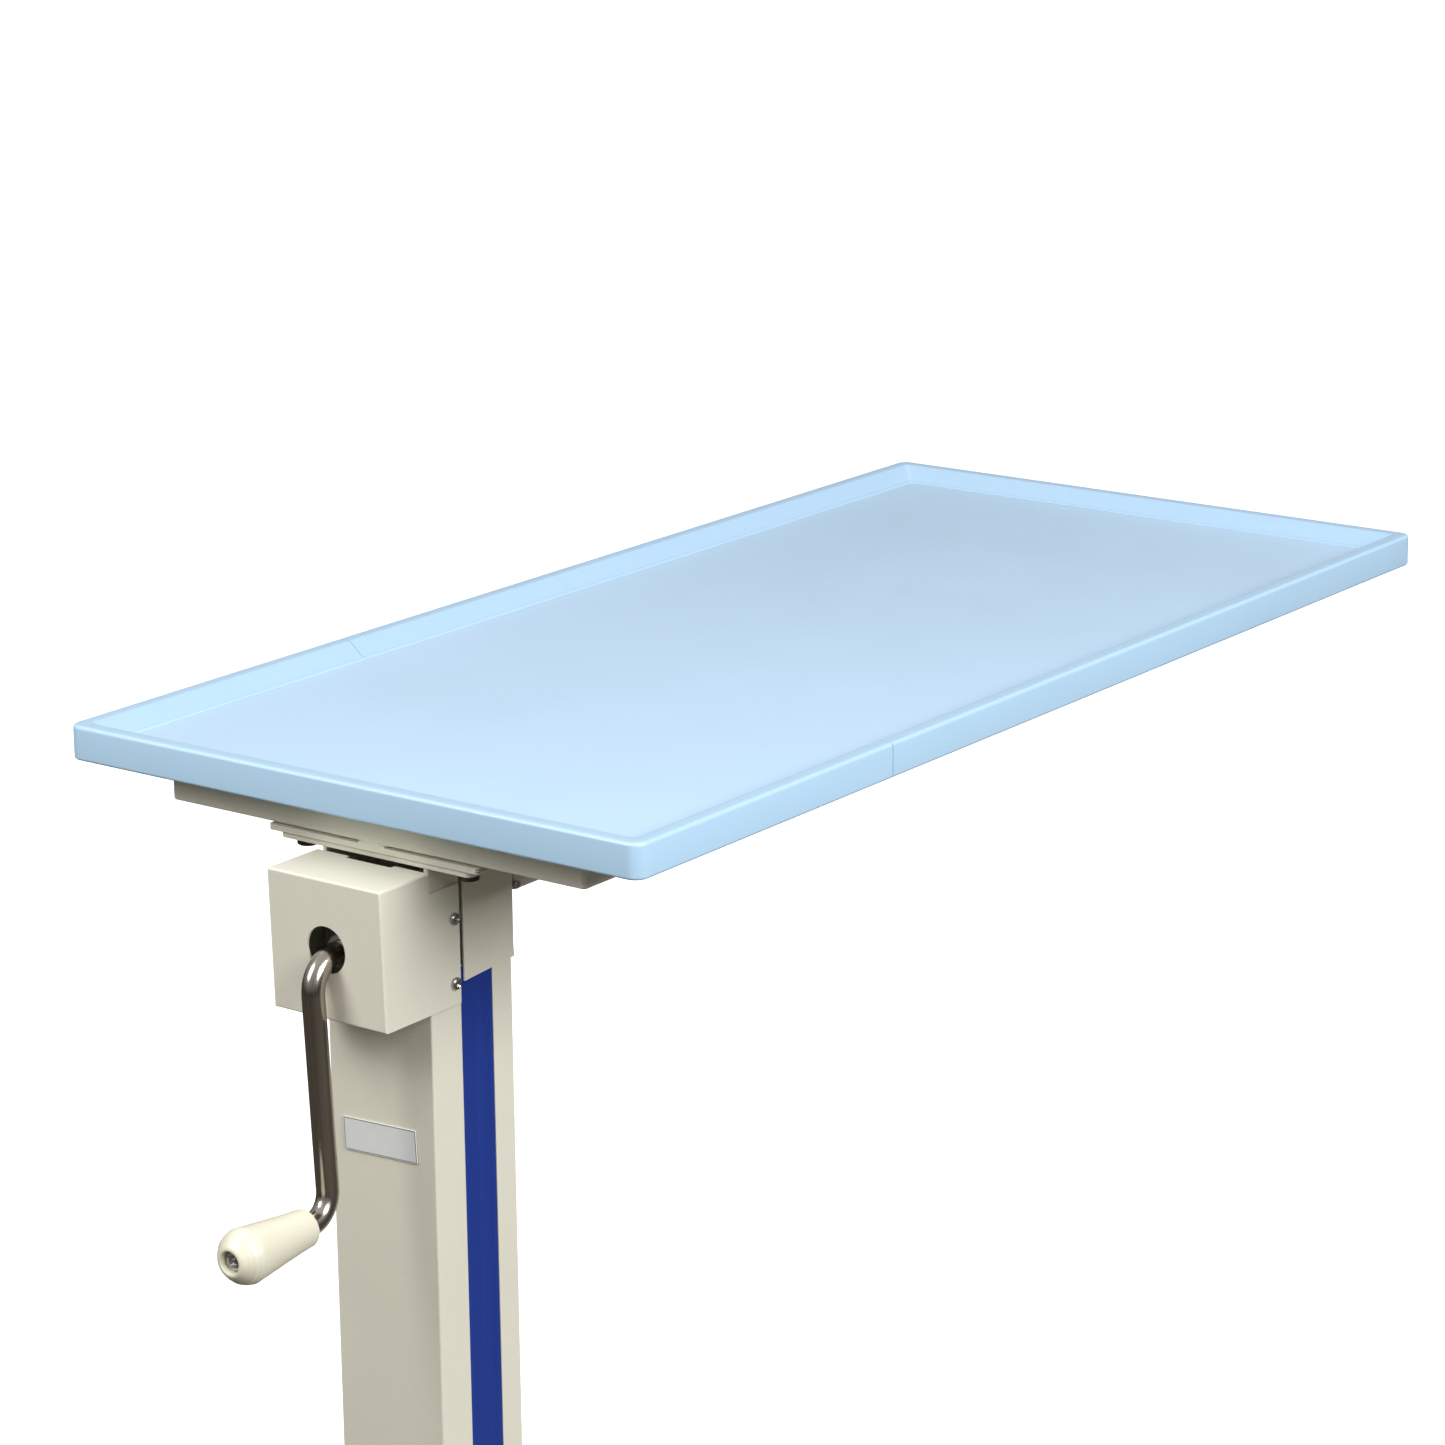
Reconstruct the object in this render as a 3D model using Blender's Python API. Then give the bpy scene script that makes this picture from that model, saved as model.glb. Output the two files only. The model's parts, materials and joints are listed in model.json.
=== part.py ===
"""Overbed table with a tray top, raised by a crank, a bevel gear pair and a lead screw.

Metres, +Z up. The origin is on the floor, under the middle of the table's overall box.
+X runs along the tray, from the crank's end to the far end. +Y is to the left of a
person who stands at the crank and looks along the tray.
The column stands under the crank's end and rises on a post fixed to the base.
"""
import math

import bmesh
import bpy

# ---- Driving dimensions ----------------------------------------------------

GAP = 0.0003                 # clearance between neighbouring pieces

TOP_LENGTH = 0.830
TOP_WIDTH = 0.400
RIM_HEIGHT = 0.0202
RIM_BOTTOM = 0.750           # height of the rim's underside with the table lowered
RIM_TOP_WIDTH = 0.0091
RIM_FOOT_WIDTH = 0.0191
TRAY_DEPTH = 0.0089
RIM_CORNER = 0.008
RIM_EDGE = 0.0035
RIM_SEAM = 0.2285            # from the crank's end of the tray to the joint in the rim

GRIP_REACH = 0.107           # how far the grip stands out past the end of the tray
NEAR_END = GRIP_REACH / 2 - TOP_LENGTH / 2
TRAY_X = NEAR_END + TOP_LENGTH / 2

COLUMN_WIDTH = 0.0746
COLUMN_DEPTH = 0.069
COLUMN_WALL = 0.002
COLUMN_CORNER = 0.0012
COLUMN_FRONT = NEAR_END + 0.0267
COLUMN_REAR = COLUMN_FRONT + COLUMN_DEPTH
COLUMN_X = COLUMN_FRONT + COLUMN_DEPTH / 2
COLUMN_FOOT = 0.1063
STRIPE_X = NEAR_END + 0.0650
STRIPE_WIDTH = 0.0264
STRIPE_DEPTH = 0.0011
STRIPE_SINK = 0.0001         # the insert's face below the column's face
LABEL_WIDTH = 0.0522
LABEL_HEIGHT = 0.0194
LABEL_SHEET = 0.0005
LABEL_TILT = math.radians(2.5)
LABEL_Y = 0.0018
LABEL_Z = RIM_BOTTOM - 0.1912
COLUMN_WINDOW_EDGE = 0.010   # what's left of the column above its side windows

FRAME_START = NEAR_END + 0.0246
FRAME_HEIGHT = 0.0201
FRAME_LENGTH = 0.560
FRAME_WIDTH = 0.2914
FRAME_BAR = 0.025
FRAME_SHEET = 0.0015
PLATE_START = FRAME_START - 0.0002
PLATE_THICKNESS = 0.0045
PLATE_LENGTH = 0.150
PLATE_WIDTH = 0.1476
FLANGE_START = NEAR_END + 0.0259
FLANGE_THICKNESS = 0.0031
FLANGE_LENGTH = 0.135
FLANGE_WIDTH = 0.1344
BOLT_X = (FLANGE_START + 0.0115, FLANGE_START + 0.1215)
BOLT_Y = (0.057, -0.057)
BOLT_RADIUS = 0.003
BOLT_HEAD = 0.0042
BOLT_HEAD_RADIUS = 0.0058

FRAME_TOP = RIM_BOTTOM - GAP
FRAME_BOTTOM = FRAME_TOP - FRAME_HEIGHT
PLATE_TOP = FRAME_BOTTOM - GAP
PLATE_BOTTOM = PLATE_TOP - PLATE_THICKNESS
FLANGE_TOP = PLATE_BOTTOM - GAP
FLANGE_BOTTOM = FLANGE_TOP - FLANGE_THICKNESS
COLUMN_TOP = FLANGE_BOTTOM - GAP

COVER_DEPTH = 0.0403         # from the column's front to the cover's front
COVER_LEAN = 0.0022          # the cover's front leans out by this at its top
COVER_WIDTH = 0.0796
COVER_TOP = RIM_BOTTOM - 0.0303
COVER_BOTTOM = RIM_BOTTOM - 0.1100
COVER_SHEET = 0.0015
COVER_FRONT = COLUMN_FRONT - COVER_DEPTH
COVER_HOLE_RADIUS = 0.0134
COVER_HOLE_Z = RIM_BOTTOM - 0.0700
EAR_END = NEAR_END + 0.0489
EAR_TOP = RIM_BOTTOM - 0.0420
EAR_START = NEAR_END + 0.0246
COVER_NOTCH = 0.016          # half the width of the notch in the cover's top
COVER_SCREWS_X = NEAR_END + 0.0440
COVER_SCREWS_Z = (RIM_BOTTOM - 0.0607, RIM_BOTTOM - 0.0974)
SCREW_SHANK = 0.0018
SCREW_HEAD = 0.0034
SADDLE_START = EAR_END + 0.0044
SADDLE_SHEET = 0.0012
SADDLE_BOTTOM = RIM_BOTTOM - 0.0990
SADDLE_RISE = 0.0026         # of the lower edge, from front to rear
STRIPE_TOP = SADDLE_BOTTOM + 0.008
GUSSET_BOTTOM = RIM_BOTTOM - 0.0594
GUSSET_LEVEL = 0.030         # length of the gusset's level lower edge
GUSSET_SHEET = 0.003
GUSSET_HALF = 0.0378

CRANK_Z = RIM_BOTTOM - 0.0738
ROD_RADIUS = 0.0064
ARM_X = NEAR_END - 0.0271
ARM_LENGTH = 0.1428
ARM_LEAN = math.radians(2.8)
UPPER_BEND = 0.0185
LOWER_BEND = 0.016
ROD_IN_COVER = 0.0245        # how far the rod reaches behind the cover's front
SPINDLE_RADIUS = 0.004
SPINDLE_SHORT = 0.0085       # from the spindle's end to the grip's outer end
GRIP_START = NEAR_END - 0.046
GRIP_END = NEAR_END - GRIP_REACH
GRIP_THIN = 0.0108
GRIP_FAT = 0.0158
GRIP_RECESS = 0.0065
GRIP_RECESS_DEPTH = 0.008

GEAR_TEETH = 16
GEAR_RADIUS = 0.016
GEAR_FACE = 0.005            # along the axis
GEAR_HUB = 0.010
GEAR_HUB_RADIUS = 0.0105
SHAFT_RADIUS = 0.006
SOCKET_RADIUS = 0.010
BRACKET_SHEET = 0.004
BRACKET_LEAD = 0.001         # the bracket's plate stands in front of the column's front face
BRACKET_HALF = 0.0335
BUSH_RADIUS = 0.009
BRACKET_Z = COVER_BOTTOM + 0.0023

SCREW_RADIUS = 0.008
SCREW_LEAD = 0.008
SCREW_DEPTH = 0.0016
SCREW_BOTTOM = 0.250
THREAD_TURNS = 45

POST_TOP = 0.600
POST_WIDTH = 0.064
POST_DEPTH = 0.058
POST_WALL = 0.0025
HEAD_PLATE = 0.008           # thickness of the plate on the post
NUT_RADIUS = 0.012
GUIDE_HEIGHT = 0.040

WHEEL_RADIUS = 0.025
WHEEL_WIDTH = 0.020
CASTOR_TRAIL = 0.018         # the wheels trail towards -X
CASTOR_TOP = 0.068
LEG_HEIGHT = 0.030
LEG_WIDTH = 0.050
LEG_WALL = 0.002
LEG_START = -0.385
LEG_LENGTH = 0.620
LEG_SPREAD = 0.340           # between the legs' centre lines
BEAM_WIDTH = 0.080
LEG_BOTTOM = CASTOR_TOP + GAP
LEG_TOP = LEG_BOTTOM + LEG_HEIGHT
CASTOR_INSET = 0.032

CUT_LOW, CUT_HIGH = 0.5, 1.0     # heights well clear of the upper pieces, for cuts right through

CREAM = (0.79, 0.765, 0.655)
TRAY_BLUE = (0.46, 0.625, 0.79)
RIM_BLUE = (0.47, 0.685, 0.895)
STRIPE_BLUE = (0.026, 0.052, 0.25)
IVORY = (0.86, 0.825, 0.67)
STEEL = (0.52, 0.51, 0.50)
ZINC = (0.60, 0.60, 0.59)
DARK_STEEL = (0.075, 0.045, 0.035)
BRONZE = (0.52, 0.34, 0.15)
NYLON = (0.76, 0.75, 0.69)
WHITE = (0.80, 0.82, 0.82)
GREY_PLASTIC = (0.13, 0.13, 0.14)
GREY_RUBBER = (0.10, 0.10, 0.105)
BLACK_PLASTIC = (0.022, 0.022, 0.024)

# ---- Finishes --------------------------------------------------------------


def finish(name, colour, roughness, metallic):
    material = bpy.data.materials.new(name)
    material.use_nodes = True
    shader = material.node_tree.nodes["Principled BSDF"]
    shader.inputs["Base Color"].default_value = (*colour, 1.0)
    shader.inputs["Roughness"].default_value = roughness
    shader.inputs["Metallic"].default_value = metallic
    material.diffuse_color = (*colour, 1.0)
    return material


def paint(name, colour=CREAM):
    return finish(name + "_paint", colour, 0.45, 0.0)


def plastic(name, colour):
    return finish(name + "_plastic", colour, 0.4, 0.0)


def metal(name, colour=STEEL, roughness=0.3):
    return finish(name + "_metal", colour, roughness, 1.0)


def rubber(name):
    return finish(name + "_rubber", GREY_RUBBER, 0.8, 0.0)


# ---- Shapes ----------------------------------------------------------------

AXIS_ORDER = {"X": (0, 1, 2), "Y": (1, 2, 0), "Z": (2, 0, 1)}


def spot(axis, along, u, v):
    """A point from its place along an axis and its two places across it."""
    point = [0.0, 0.0, 0.0]
    for index, value in zip(AXIS_ORDER[axis], (along, u, v)):
        point[index] = value
    return point


def bridge(shape, first, second):
    count = len(first)
    for i in range(count):
        j = (i + 1) % count
        shape.faces.new((first[i], first[j], second[j], second[i]))


def loft(rings, closed=False):
    """A solid through rings of equal point counts, capped or closed on itself."""
    shape = bmesh.new()
    loops = [[shape.verts.new(point) for point in ring] for ring in rings]
    for first, second in zip(loops, loops[1:]):
        bridge(shape, first, second)
    if closed:
        bridge(shape, loops[-1], loops[0])
    else:
        shape.faces.new(loops[0])
        shape.faces.new(loops[-1])
    bmesh.ops.recalc_face_normals(shape, faces=shape.faces)
    return shape


def prism(axis, outline, low, high):
    return loft([[spot(axis, along, u, v) for u, v in outline] for along in (low, high)])


def block(low, high):
    outline = [(low[0], low[1]), (high[0], low[1]), (high[0], high[1]), (low[0], high[1])]
    return prism("Z", outline, low[2], high[2])


def tube(axis, outer, inner, low, high):
    """A straight tube between two outlines of equal point counts."""
    walls = [(outer, low), (outer, high), (inner, high), (inner, low)]
    return loft([[spot(axis, along, u, v) for u, v in outline] for outline, along in walls], True)


def circle(radius, count, centre=(0.0, 0.0), start=0.0):
    angles = [start + 2 * math.pi * i / count for i in range(count)]
    return [(centre[0] + radius * math.cos(a), centre[1] + radius * math.sin(a)) for a in angles]


def rounded_box(width, depth, radius, centre=(0.0, 0.0), steps=3):
    """A rectangle with rounded corners, as an outline."""
    outline = []
    for quarter, (sx, sy) in enumerate(((1, 1), (-1, 1), (-1, -1), (1, -1))):
        x = centre[0] + sx * (width / 2 - radius)
        y = centre[1] + sy * (depth / 2 - radius)
        for step in range(steps + 1):
            angle = math.pi / 2 * (quarter + step / steps)
            outline.append((x + radius * math.cos(angle), y + radius * math.sin(angle)))
    return outline


def turned(axis, profile, count, centre=(0.0, 0.0), bored=False):
    """A turned solid. The profile lists places along the axis and radii."""
    rings = []
    for along, radius in profile:
        rings.append([spot(axis, along, u, v) for u, v in circle(radius, count, centre)])
    return loft(rings, bored)


def bored_disc(axis, low, high, radius, bore, count, centre=(0.0, 0.0)):
    profile = [(low, bore), (low, radius), (high, radius), (high, bore)]
    return turned(axis, profile, count, centre, True)


def mesh_from(shape, name):
    mesh = bpy.data.meshes.new(name)
    shape.to_mesh(mesh)
    shape.free()
    return mesh


def combine(body, tools, operation):
    """Cut tools from a body, or join them to it, and give the result."""
    holder = bpy.data.objects.new("working_body", mesh_from(body, "working_body"))
    bpy.context.collection.objects.link(holder)
    helpers = []
    for tool in tools:
        helper = bpy.data.objects.new("working_tool", mesh_from(tool, "working_tool"))
        bpy.context.collection.objects.link(helper)
        helpers.append(helper)
        modifier = holder.modifiers.new("combine", "BOOLEAN")
        modifier.operation = operation
        modifier.solver = "EXACT"
        modifier.object = helper
    bpy.context.view_layer.update()
    result = bmesh.new()
    result.from_object(holder, bpy.context.evaluated_depsgraph_get())
    for item in [holder] + helpers:
        mesh = item.data
        bpy.data.objects.remove(item)
        bpy.data.meshes.remove(mesh)
    return result


def carve(body, *tools):
    return combine(body, tools, "DIFFERENCE")


def join(body, *tools):
    return combine(body, tools, "UNION")


# ---- Placing pieces --------------------------------------------------------


def pivot(name, place, parent=None):
    """An empty on a joint's axis. The pieces that move with the joint hang on it."""
    empty = bpy.data.objects.new(name, None)
    bpy.context.collection.objects.link(empty)
    hang(empty, place, parent)
    return empty


def hang(item, place, parent):
    item.location = place
    if parent is not None:
        item.parent = parent
        item.location = [a - b for a, b in zip(place, world_place(parent))]


def world_place(item):
    place = list(item.location)
    while item.parent is not None:
        item = item.parent
        place = [a + b for a, b in zip(place, item.location)]
    return place


def piece(name, shape, material, parent=None, place=None):
    """A named object. Its shape is given in world coordinates."""
    place = place or (world_place(parent) if parent else (0.0, 0.0, 0.0))
    bmesh.ops.translate(shape, verts=shape.verts, vec=[-value for value in place])
    return copy_of(name, mesh_from(shape, name), material, parent, place)


def copy_of(name, mesh, material, parent, place):
    """A named object from a mesh about its own origin. Copies share the mesh."""
    item = bpy.data.objects.new(name, mesh)
    bpy.context.collection.objects.link(item)
    if not mesh.materials:
        mesh.materials.append(None)
    item.material_slots[0].link = "OBJECT"
    item.material_slots[0].material = material
    hang(item, place, parent)
    return item


def smooth(item):
    item.data.shade_smooth()
    item.data.set_sharp_from_angle(angle=math.radians(35))
    return item


# ---- Tray and its frame ----------------------------------------------------


def rim_section():
    """The rim's cross-section, as distances in from the edge and heights."""
    section = [(RIM_FOOT_WIDTH, 0.0)]
    for middle, start in ((RIM_EDGE, -math.pi / 2), (RIM_HEIGHT - RIM_EDGE, 0.0)):
        for step in range(4):
            angle = start + math.pi / 2 * step / 3
            section.append((RIM_EDGE * (1 - math.cos(angle)), middle + RIM_EDGE * math.sin(angle)))
    section.append((RIM_TOP_WIDTH, RIM_HEIGHT))
    section.append((RIM_FOOT_WIDTH, RIM_HEIGHT - TRAY_DEPTH))
    return section


def rim_path(inset, end_x, direction):
    """Half of the rim's plan at one distance in from the edge, from seam to seam."""
    radius = max(RIM_CORNER - inset, 0.002)
    half = TOP_WIDTH / 2 - inset
    seam = NEAR_END + RIM_SEAM + direction * GAP / 2
    path = [(seam, -direction * half)]
    for turn in range(2):
        side = direction * (2 * turn - 1)
        for step in range(5):
            angle = math.pi / 2 * step / 4
            if turn:
                angle = math.pi / 2 - angle
            x = end_x - direction * (inset + radius * (1 - math.sin(angle)))
            y = side * (half - radius * (1 - math.cos(angle)))
            path.append((x, y))
    path.append((seam, direction * half))
    return path


def rim(name, end_x, direction, parent):
    columns = []
    for inset, height in rim_section():
        columns.append([(x, y, RIM_BOTTOM + height) for x, y in rim_path(inset, end_x, direction)])
    piece(name, loft(list(zip(*columns))), plastic(name, RIM_BLUE), parent)


def tray_panel(parent):
    inset = RIM_FOOT_WIDTH + GAP
    outline = rounded_box(TOP_LENGTH - 2 * inset, TOP_WIDTH - 2 * inset, 0.002, (TRAY_X, 0.0), 2)
    shape = prism("Z", outline, RIM_BOTTOM, RIM_BOTTOM + RIM_HEIGHT - TRAY_DEPTH)
    piece("tray_panel", shape, plastic("tray_panel", TRAY_BLUE), parent)


def frame_windows():
    """The three openings between the frame's bars, as spans along X."""
    end = FRAME_START + FRAME_LENGTH
    second_bar = FRAME_START + PLATE_LENGTH
    third_bar = (second_bar + end) / 2
    bars = [FRAME_START + FRAME_BAR, second_bar, third_bar, end - FRAME_BAR]
    return [(bars[0], bars[1] - FRAME_BAR), (bars[1], bars[2] - FRAME_BAR), (bars[2], bars[3])]


def support_frame(parent):
    """Bars folded from sheet, open on top where the tray covers them."""
    end = FRAME_START + FRAME_LENGTH
    half = FRAME_WIDTH / 2
    inside = half - FRAME_BAR
    sheet = FRAME_SHEET
    body = prism("Z", rounded_box(FRAME_LENGTH, FRAME_WIDTH, 0.003,
                                  ((FRAME_START + end) / 2, 0.0)), FRAME_BOTTOM, FRAME_TOP)
    trench = block((FRAME_START + sheet, -half + sheet, FRAME_BOTTOM + sheet),
                   (end - sheet, half - sheet, CUT_HIGH))
    windows = []
    walls = []
    for low, high in frame_windows():
        windows.append(block((low, -inside, CUT_LOW), (high, inside, CUT_HIGH)))
        walls.append(block((low - sheet, -inside - sheet, CUT_LOW),
                           (high + sheet, inside + sheet, CUT_HIGH + sheet)))
    body = carve(body, carve(trench, *walls), *windows)
    piece("support_frame", body, paint("support_frame"), parent)


def bolt_holes():
    holes = []
    for x in BOLT_X:
        for y in BOLT_Y:
            holes.append(prism("Z", circle(BOLT_RADIUS + GAP, 16, (x, y)), CUT_LOW, CUT_HIGH))
    return holes


def mounting_plate(parent):
    body = prism("Z", rounded_box(PLATE_LENGTH, PLATE_WIDTH, 0.002,
                                  (PLATE_START + PLATE_LENGTH / 2, 0.0)), PLATE_BOTTOM, PLATE_TOP)
    piece("mounting_plate", carve(body, *bolt_holes()), paint("mounting_plate"), parent)


def column_flange(parent):
    body = prism("Z", rounded_box(FLANGE_LENGTH, FLANGE_WIDTH, 0.004,
                                  (FLANGE_START + FLANGE_LENGTH / 2, 0.0)), FLANGE_BOTTOM, FLANGE_TOP)
    piece("column_flange", carve(body, *bolt_holes()), paint("column_flange"), parent)


def flange_bolts(parent):
    """Hex bolts from below, through the flange and the mounting plate."""
    head = FLANGE_BOTTOM - GAP
    number = 0
    for x in BOLT_X:
        for y in BOLT_Y:
            number += 1
            name = f"flange_bolt_{number}"
            hexagon = prism("Z", circle(BOLT_HEAD_RADIUS, 6, (x, y), math.pi / 6), head - BOLT_HEAD, head)
            shank = prism("Z", circle(BOLT_RADIUS, 12, (x, y)), head - 0.002, PLATE_TOP - GAP)
            piece(name, join(hexagon, shank), metal(name, DARK_STEEL, 0.5), parent)


def rear_gusset(parent):
    """A folded bracket that stiffens the corner between column and flange."""
    front = COLUMN_REAR + SADDLE_SHEET + 6 * GAP
    rear = FLANGE_START + FLANGE_LENGTH - 0.002
    bottom = GUSSET_BOTTOM
    top = FLANGE_BOTTOM - GAP
    level = front + GUSSET_LEVEL
    sheet = GUSSET_SHEET
    inside = GUSSET_HALF - sheet
    outline = [(bottom, front), (bottom, level), (top - sheet, rear), (top, rear), (top, front)]
    body = prism("Y", outline, -GUSSET_HALF, GUSSET_HALF)
    hollow = [(bottom - sheet, front + sheet), (bottom - sheet, level),
              (top - sheet, rear + sheet), (top - sheet, front + sheet)]
    piece("rear_gusset", carve(body, prism("Y", hollow, -inside, inside)), paint("rear_gusset"), parent)


# ---- Column ----------------------------------------------------------------


def lift_column(parent):
    """The square column. Behind the crank cover and the saddle its walls have windows."""
    centre = (COLUMN_X, 0.0)
    outer = rounded_box(COLUMN_DEPTH, COLUMN_WIDTH, COLUMN_CORNER, centre)
    inner = rounded_box(COLUMN_DEPTH - 2 * COLUMN_WALL, COLUMN_WIDTH - 2 * COLUMN_WALL, 0.0008, centre)
    body = tube("Z", outer, inner, COLUMN_FOOT, COLUMN_TOP)
    half_width = COLUMN_WIDTH / 2
    inside = half_width - COLUMN_WALL - 0.001
    start = STRIPE_X - STRIPE_WIDTH / 2 - GAP
    end = STRIPE_X + STRIPE_WIDTH / 2 + GAP
    tools = [block((COLUMN_FRONT - 0.01, -inside, BRACKET_Z - GAP),
                   (COLUMN_FRONT + 0.01, inside, CUT_HIGH)),
             block((start, -half_width - 0.01, STRIPE_TOP + GAP),
                   (end, half_width + 0.01, COLUMN_TOP - COLUMN_WINDOW_EDGE))]
    for side in (1, -1):
        near, far = sorted((side * (half_width - STRIPE_DEPTH), side * (half_width + 0.01)))
        tools.append(block((start, near, 0.0), (end, far, STRIPE_TOP + 2 * GAP)))
    piece("lift_column", carve(body, *tools), paint("lift_column"), parent)


def side_stripes(parent):
    """Flush inserts in the grooves along the column's sides."""
    half = STRIPE_WIDTH / 2
    for name, side in (("side_stripe_left", 1), ("side_stripe_right", -1)):
        near, far = sorted((side * (COLUMN_WIDTH / 2 - STRIPE_DEPTH + GAP),
                            side * (COLUMN_WIDTH / 2 - STRIPE_SINK)))
        shape = block((STRIPE_X - half, near, COLUMN_FOOT + 0.0005), (STRIPE_X + half, far, STRIPE_TOP))
        piece(name, shape, plastic(name, STRIPE_BLUE), parent)


def label_plate(parent):
    """A blank label, fixed a little askew on the column's front."""
    outline = []
    for u, v in rounded_box(LABEL_WIDTH, LABEL_HEIGHT, 0.0012, steps=2):
        y = LABEL_Y + u * math.cos(LABEL_TILT) + v * math.sin(LABEL_TILT)
        z = LABEL_Z + v * math.cos(LABEL_TILT) - u * math.sin(LABEL_TILT)
        outline.append((y, z))
    front = COLUMN_FRONT - GAP
    shape = prism("X", outline, front - LABEL_SHEET, front)
    piece("label_plate", shape, plastic("label_plate", WHITE), parent)


def rear_saddle(parent):
    """A sheet that wraps the column's sides and rear. Its lower edge rises towards the rear."""
    half = COLUMN_WIDTH / 2 + GAP
    rear = COLUMN_REAR + GAP
    sheet = SADDLE_SHEET
    outline = [(SADDLE_START, -half - sheet), (rear + sheet, -half - sheet),
               (rear + sheet, half + sheet), (SADDLE_START, half + sheet),
               (SADDLE_START, half), (rear, half), (rear, -half), (SADDLE_START, -half)]
    shape = prism("Z", outline, SADDLE_BOTTOM, COLUMN_TOP - GAP)
    for vertex in shape.verts:
        if vertex.co.z < SADDLE_BOTTOM + GAP:
            vertex.co.z += SADDLE_RISE * (vertex.co.x - SADDLE_START) / (rear - SADDLE_START)
    piece("rear_saddle", shape, paint("rear_saddle"), parent)


# ---- Crank cover -----------------------------------------------------------


def crank_cover(parent):
    """A folded box, open to the column, with an ear along each of its sides."""
    sheet = COVER_SHEET
    half = COVER_WIDTH / 2
    inner = half - sheet
    back = COLUMN_FRONT - 0.0005
    body = prism("Y", [(COVER_BOTTOM, COVER_FRONT), (COVER_BOTTOM, EAR_END), (COVER_TOP, EAR_END),
                       (COVER_TOP, COVER_FRONT - COVER_LEAN)], -half, half)
    hollow = prism("Y", [(COVER_BOTTOM + sheet, COVER_FRONT + sheet), (COVER_BOTTOM + sheet, back + 0.001),
                         (COVER_TOP - sheet, back + 0.001),
                         (COVER_TOP - sheet, COVER_FRONT - COVER_LEAN + sheet)], -inner, inner)
    between_ears = block((back, -inner, CUT_LOW), (0.0, inner, CUT_HIGH))
    over_ears = block((EAR_START, -COVER_WIDTH, EAR_TOP), (0.0, COVER_WIDTH, CUT_HIGH))
    notch = block((back - 0.0035, -COVER_NOTCH, COVER_TOP - 0.005), (0.0, COVER_NOTCH, CUT_HIGH))
    hole = prism("X", circle(COVER_HOLE_RADIUS, 32, (0.0, COVER_HOLE_Z)),
                 COVER_FRONT - 0.01, COVER_FRONT + 0.01)
    screws = []
    for z in COVER_SCREWS_Z:
        hole_outline = circle(SCREW_SHANK + 0.0004, 12, (z, COVER_SCREWS_X))
        screws.append(prism("Y", hole_outline, -COVER_WIDTH, COVER_WIDTH))
    shape = carve(body, hollow, between_ears, over_ears, notch, hole, *screws)
    piece("crank_cover", shape, paint("crank_cover"), parent)


def cover_screws(parent):
    """Pan head screws through the ears, short of the column's wall."""
    number = 0
    for side in (1, -1):
        for z in COVER_SCREWS_Z:
            number += 1
            name = f"cover_screw_{number}"
            face = COVER_WIDTH / 2 + GAP
            end = COLUMN_WIDTH / 2 + GAP
            profile = [(end, SCREW_SHANK), (face, SCREW_SHANK), (face, SCREW_HEAD),
                       (face + 0.0010, SCREW_HEAD - 0.0001),
                       (face + 0.0019, 0.0025), (face + 0.0022, 0.0012)]
            shape = turned("Y", [(side * a, r) for a, r in profile], 16, (z, COVER_SCREWS_X))
            smooth(piece(name, shape, metal(name, ZINC), parent))


# ---- Crank and gears -------------------------------------------------------


def swept(path, count):
    """A round bar along a path of points in the XZ plane, each with a radius."""
    rings = []
    for i, (x, z, radius) in enumerate(path):
        before = path[max(i - 1, 0)]
        after = path[min(i + 1, len(path) - 1)]
        angle = math.atan2(after[1] - before[1], after[0] - before[0])
        ring = []
        for u, v in circle(radius, count):
            ring.append((x - u * math.sin(angle), v, z + u * math.cos(angle)))
        rings.append(ring)
    return loft(rings)


def crank_path():
    """The rod's centre line about the crank's axis, with the arm straight down."""
    top, bottom = 0.0, -ARM_LENGTH
    path = [(COVER_FRONT + ROD_IN_COVER, top, ROD_RADIUS)]
    for step in range(7):
        angle = math.pi / 2 * step / 6
        path.append((ARM_X + UPPER_BEND * (1 - math.sin(angle)),
                     top - UPPER_BEND * (1 - math.cos(angle)), ROD_RADIUS))
    for step in range(7):
        angle = math.pi / 2 * step / 6
        path.append((ARM_X - LOWER_BEND * (1 - math.cos(angle)),
                     bottom + LOWER_BEND * (1 - math.sin(angle)), ROD_RADIUS))
    shoulder = GRIP_START + GAP
    path.append((shoulder, bottom, ROD_RADIUS))
    return path


def crank_rod(parent):
    """The bent rod, with a thinner spindle on its lower end that the grip turns on."""
    path = crank_path()
    spindle = prism("X", circle(SPINDLE_RADIUS, 16, (0.0, -ARM_LENGTH)),
                    GRIP_END + SPINDLE_SHORT, path[-1][0] + ROD_RADIUS / 2)
    shape = join(swept(path, 16), spindle)
    for vertex in shape.verts:
        y, z = vertex.co.y, vertex.co.z
        vertex.co.y = y * math.cos(ARM_LEAN) + z * math.sin(ARM_LEAN)
        vertex.co.z = CRANK_Z + z * math.cos(ARM_LEAN) - y * math.sin(ARM_LEAN)
    smooth(piece("crank_rod", shape, metal("crank_rod"), parent))


GRIP_Y = -ARM_LENGTH * math.sin(ARM_LEAN)
GRIP_Z = CRANK_Z - ARM_LENGTH * math.cos(ARM_LEAN)


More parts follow.
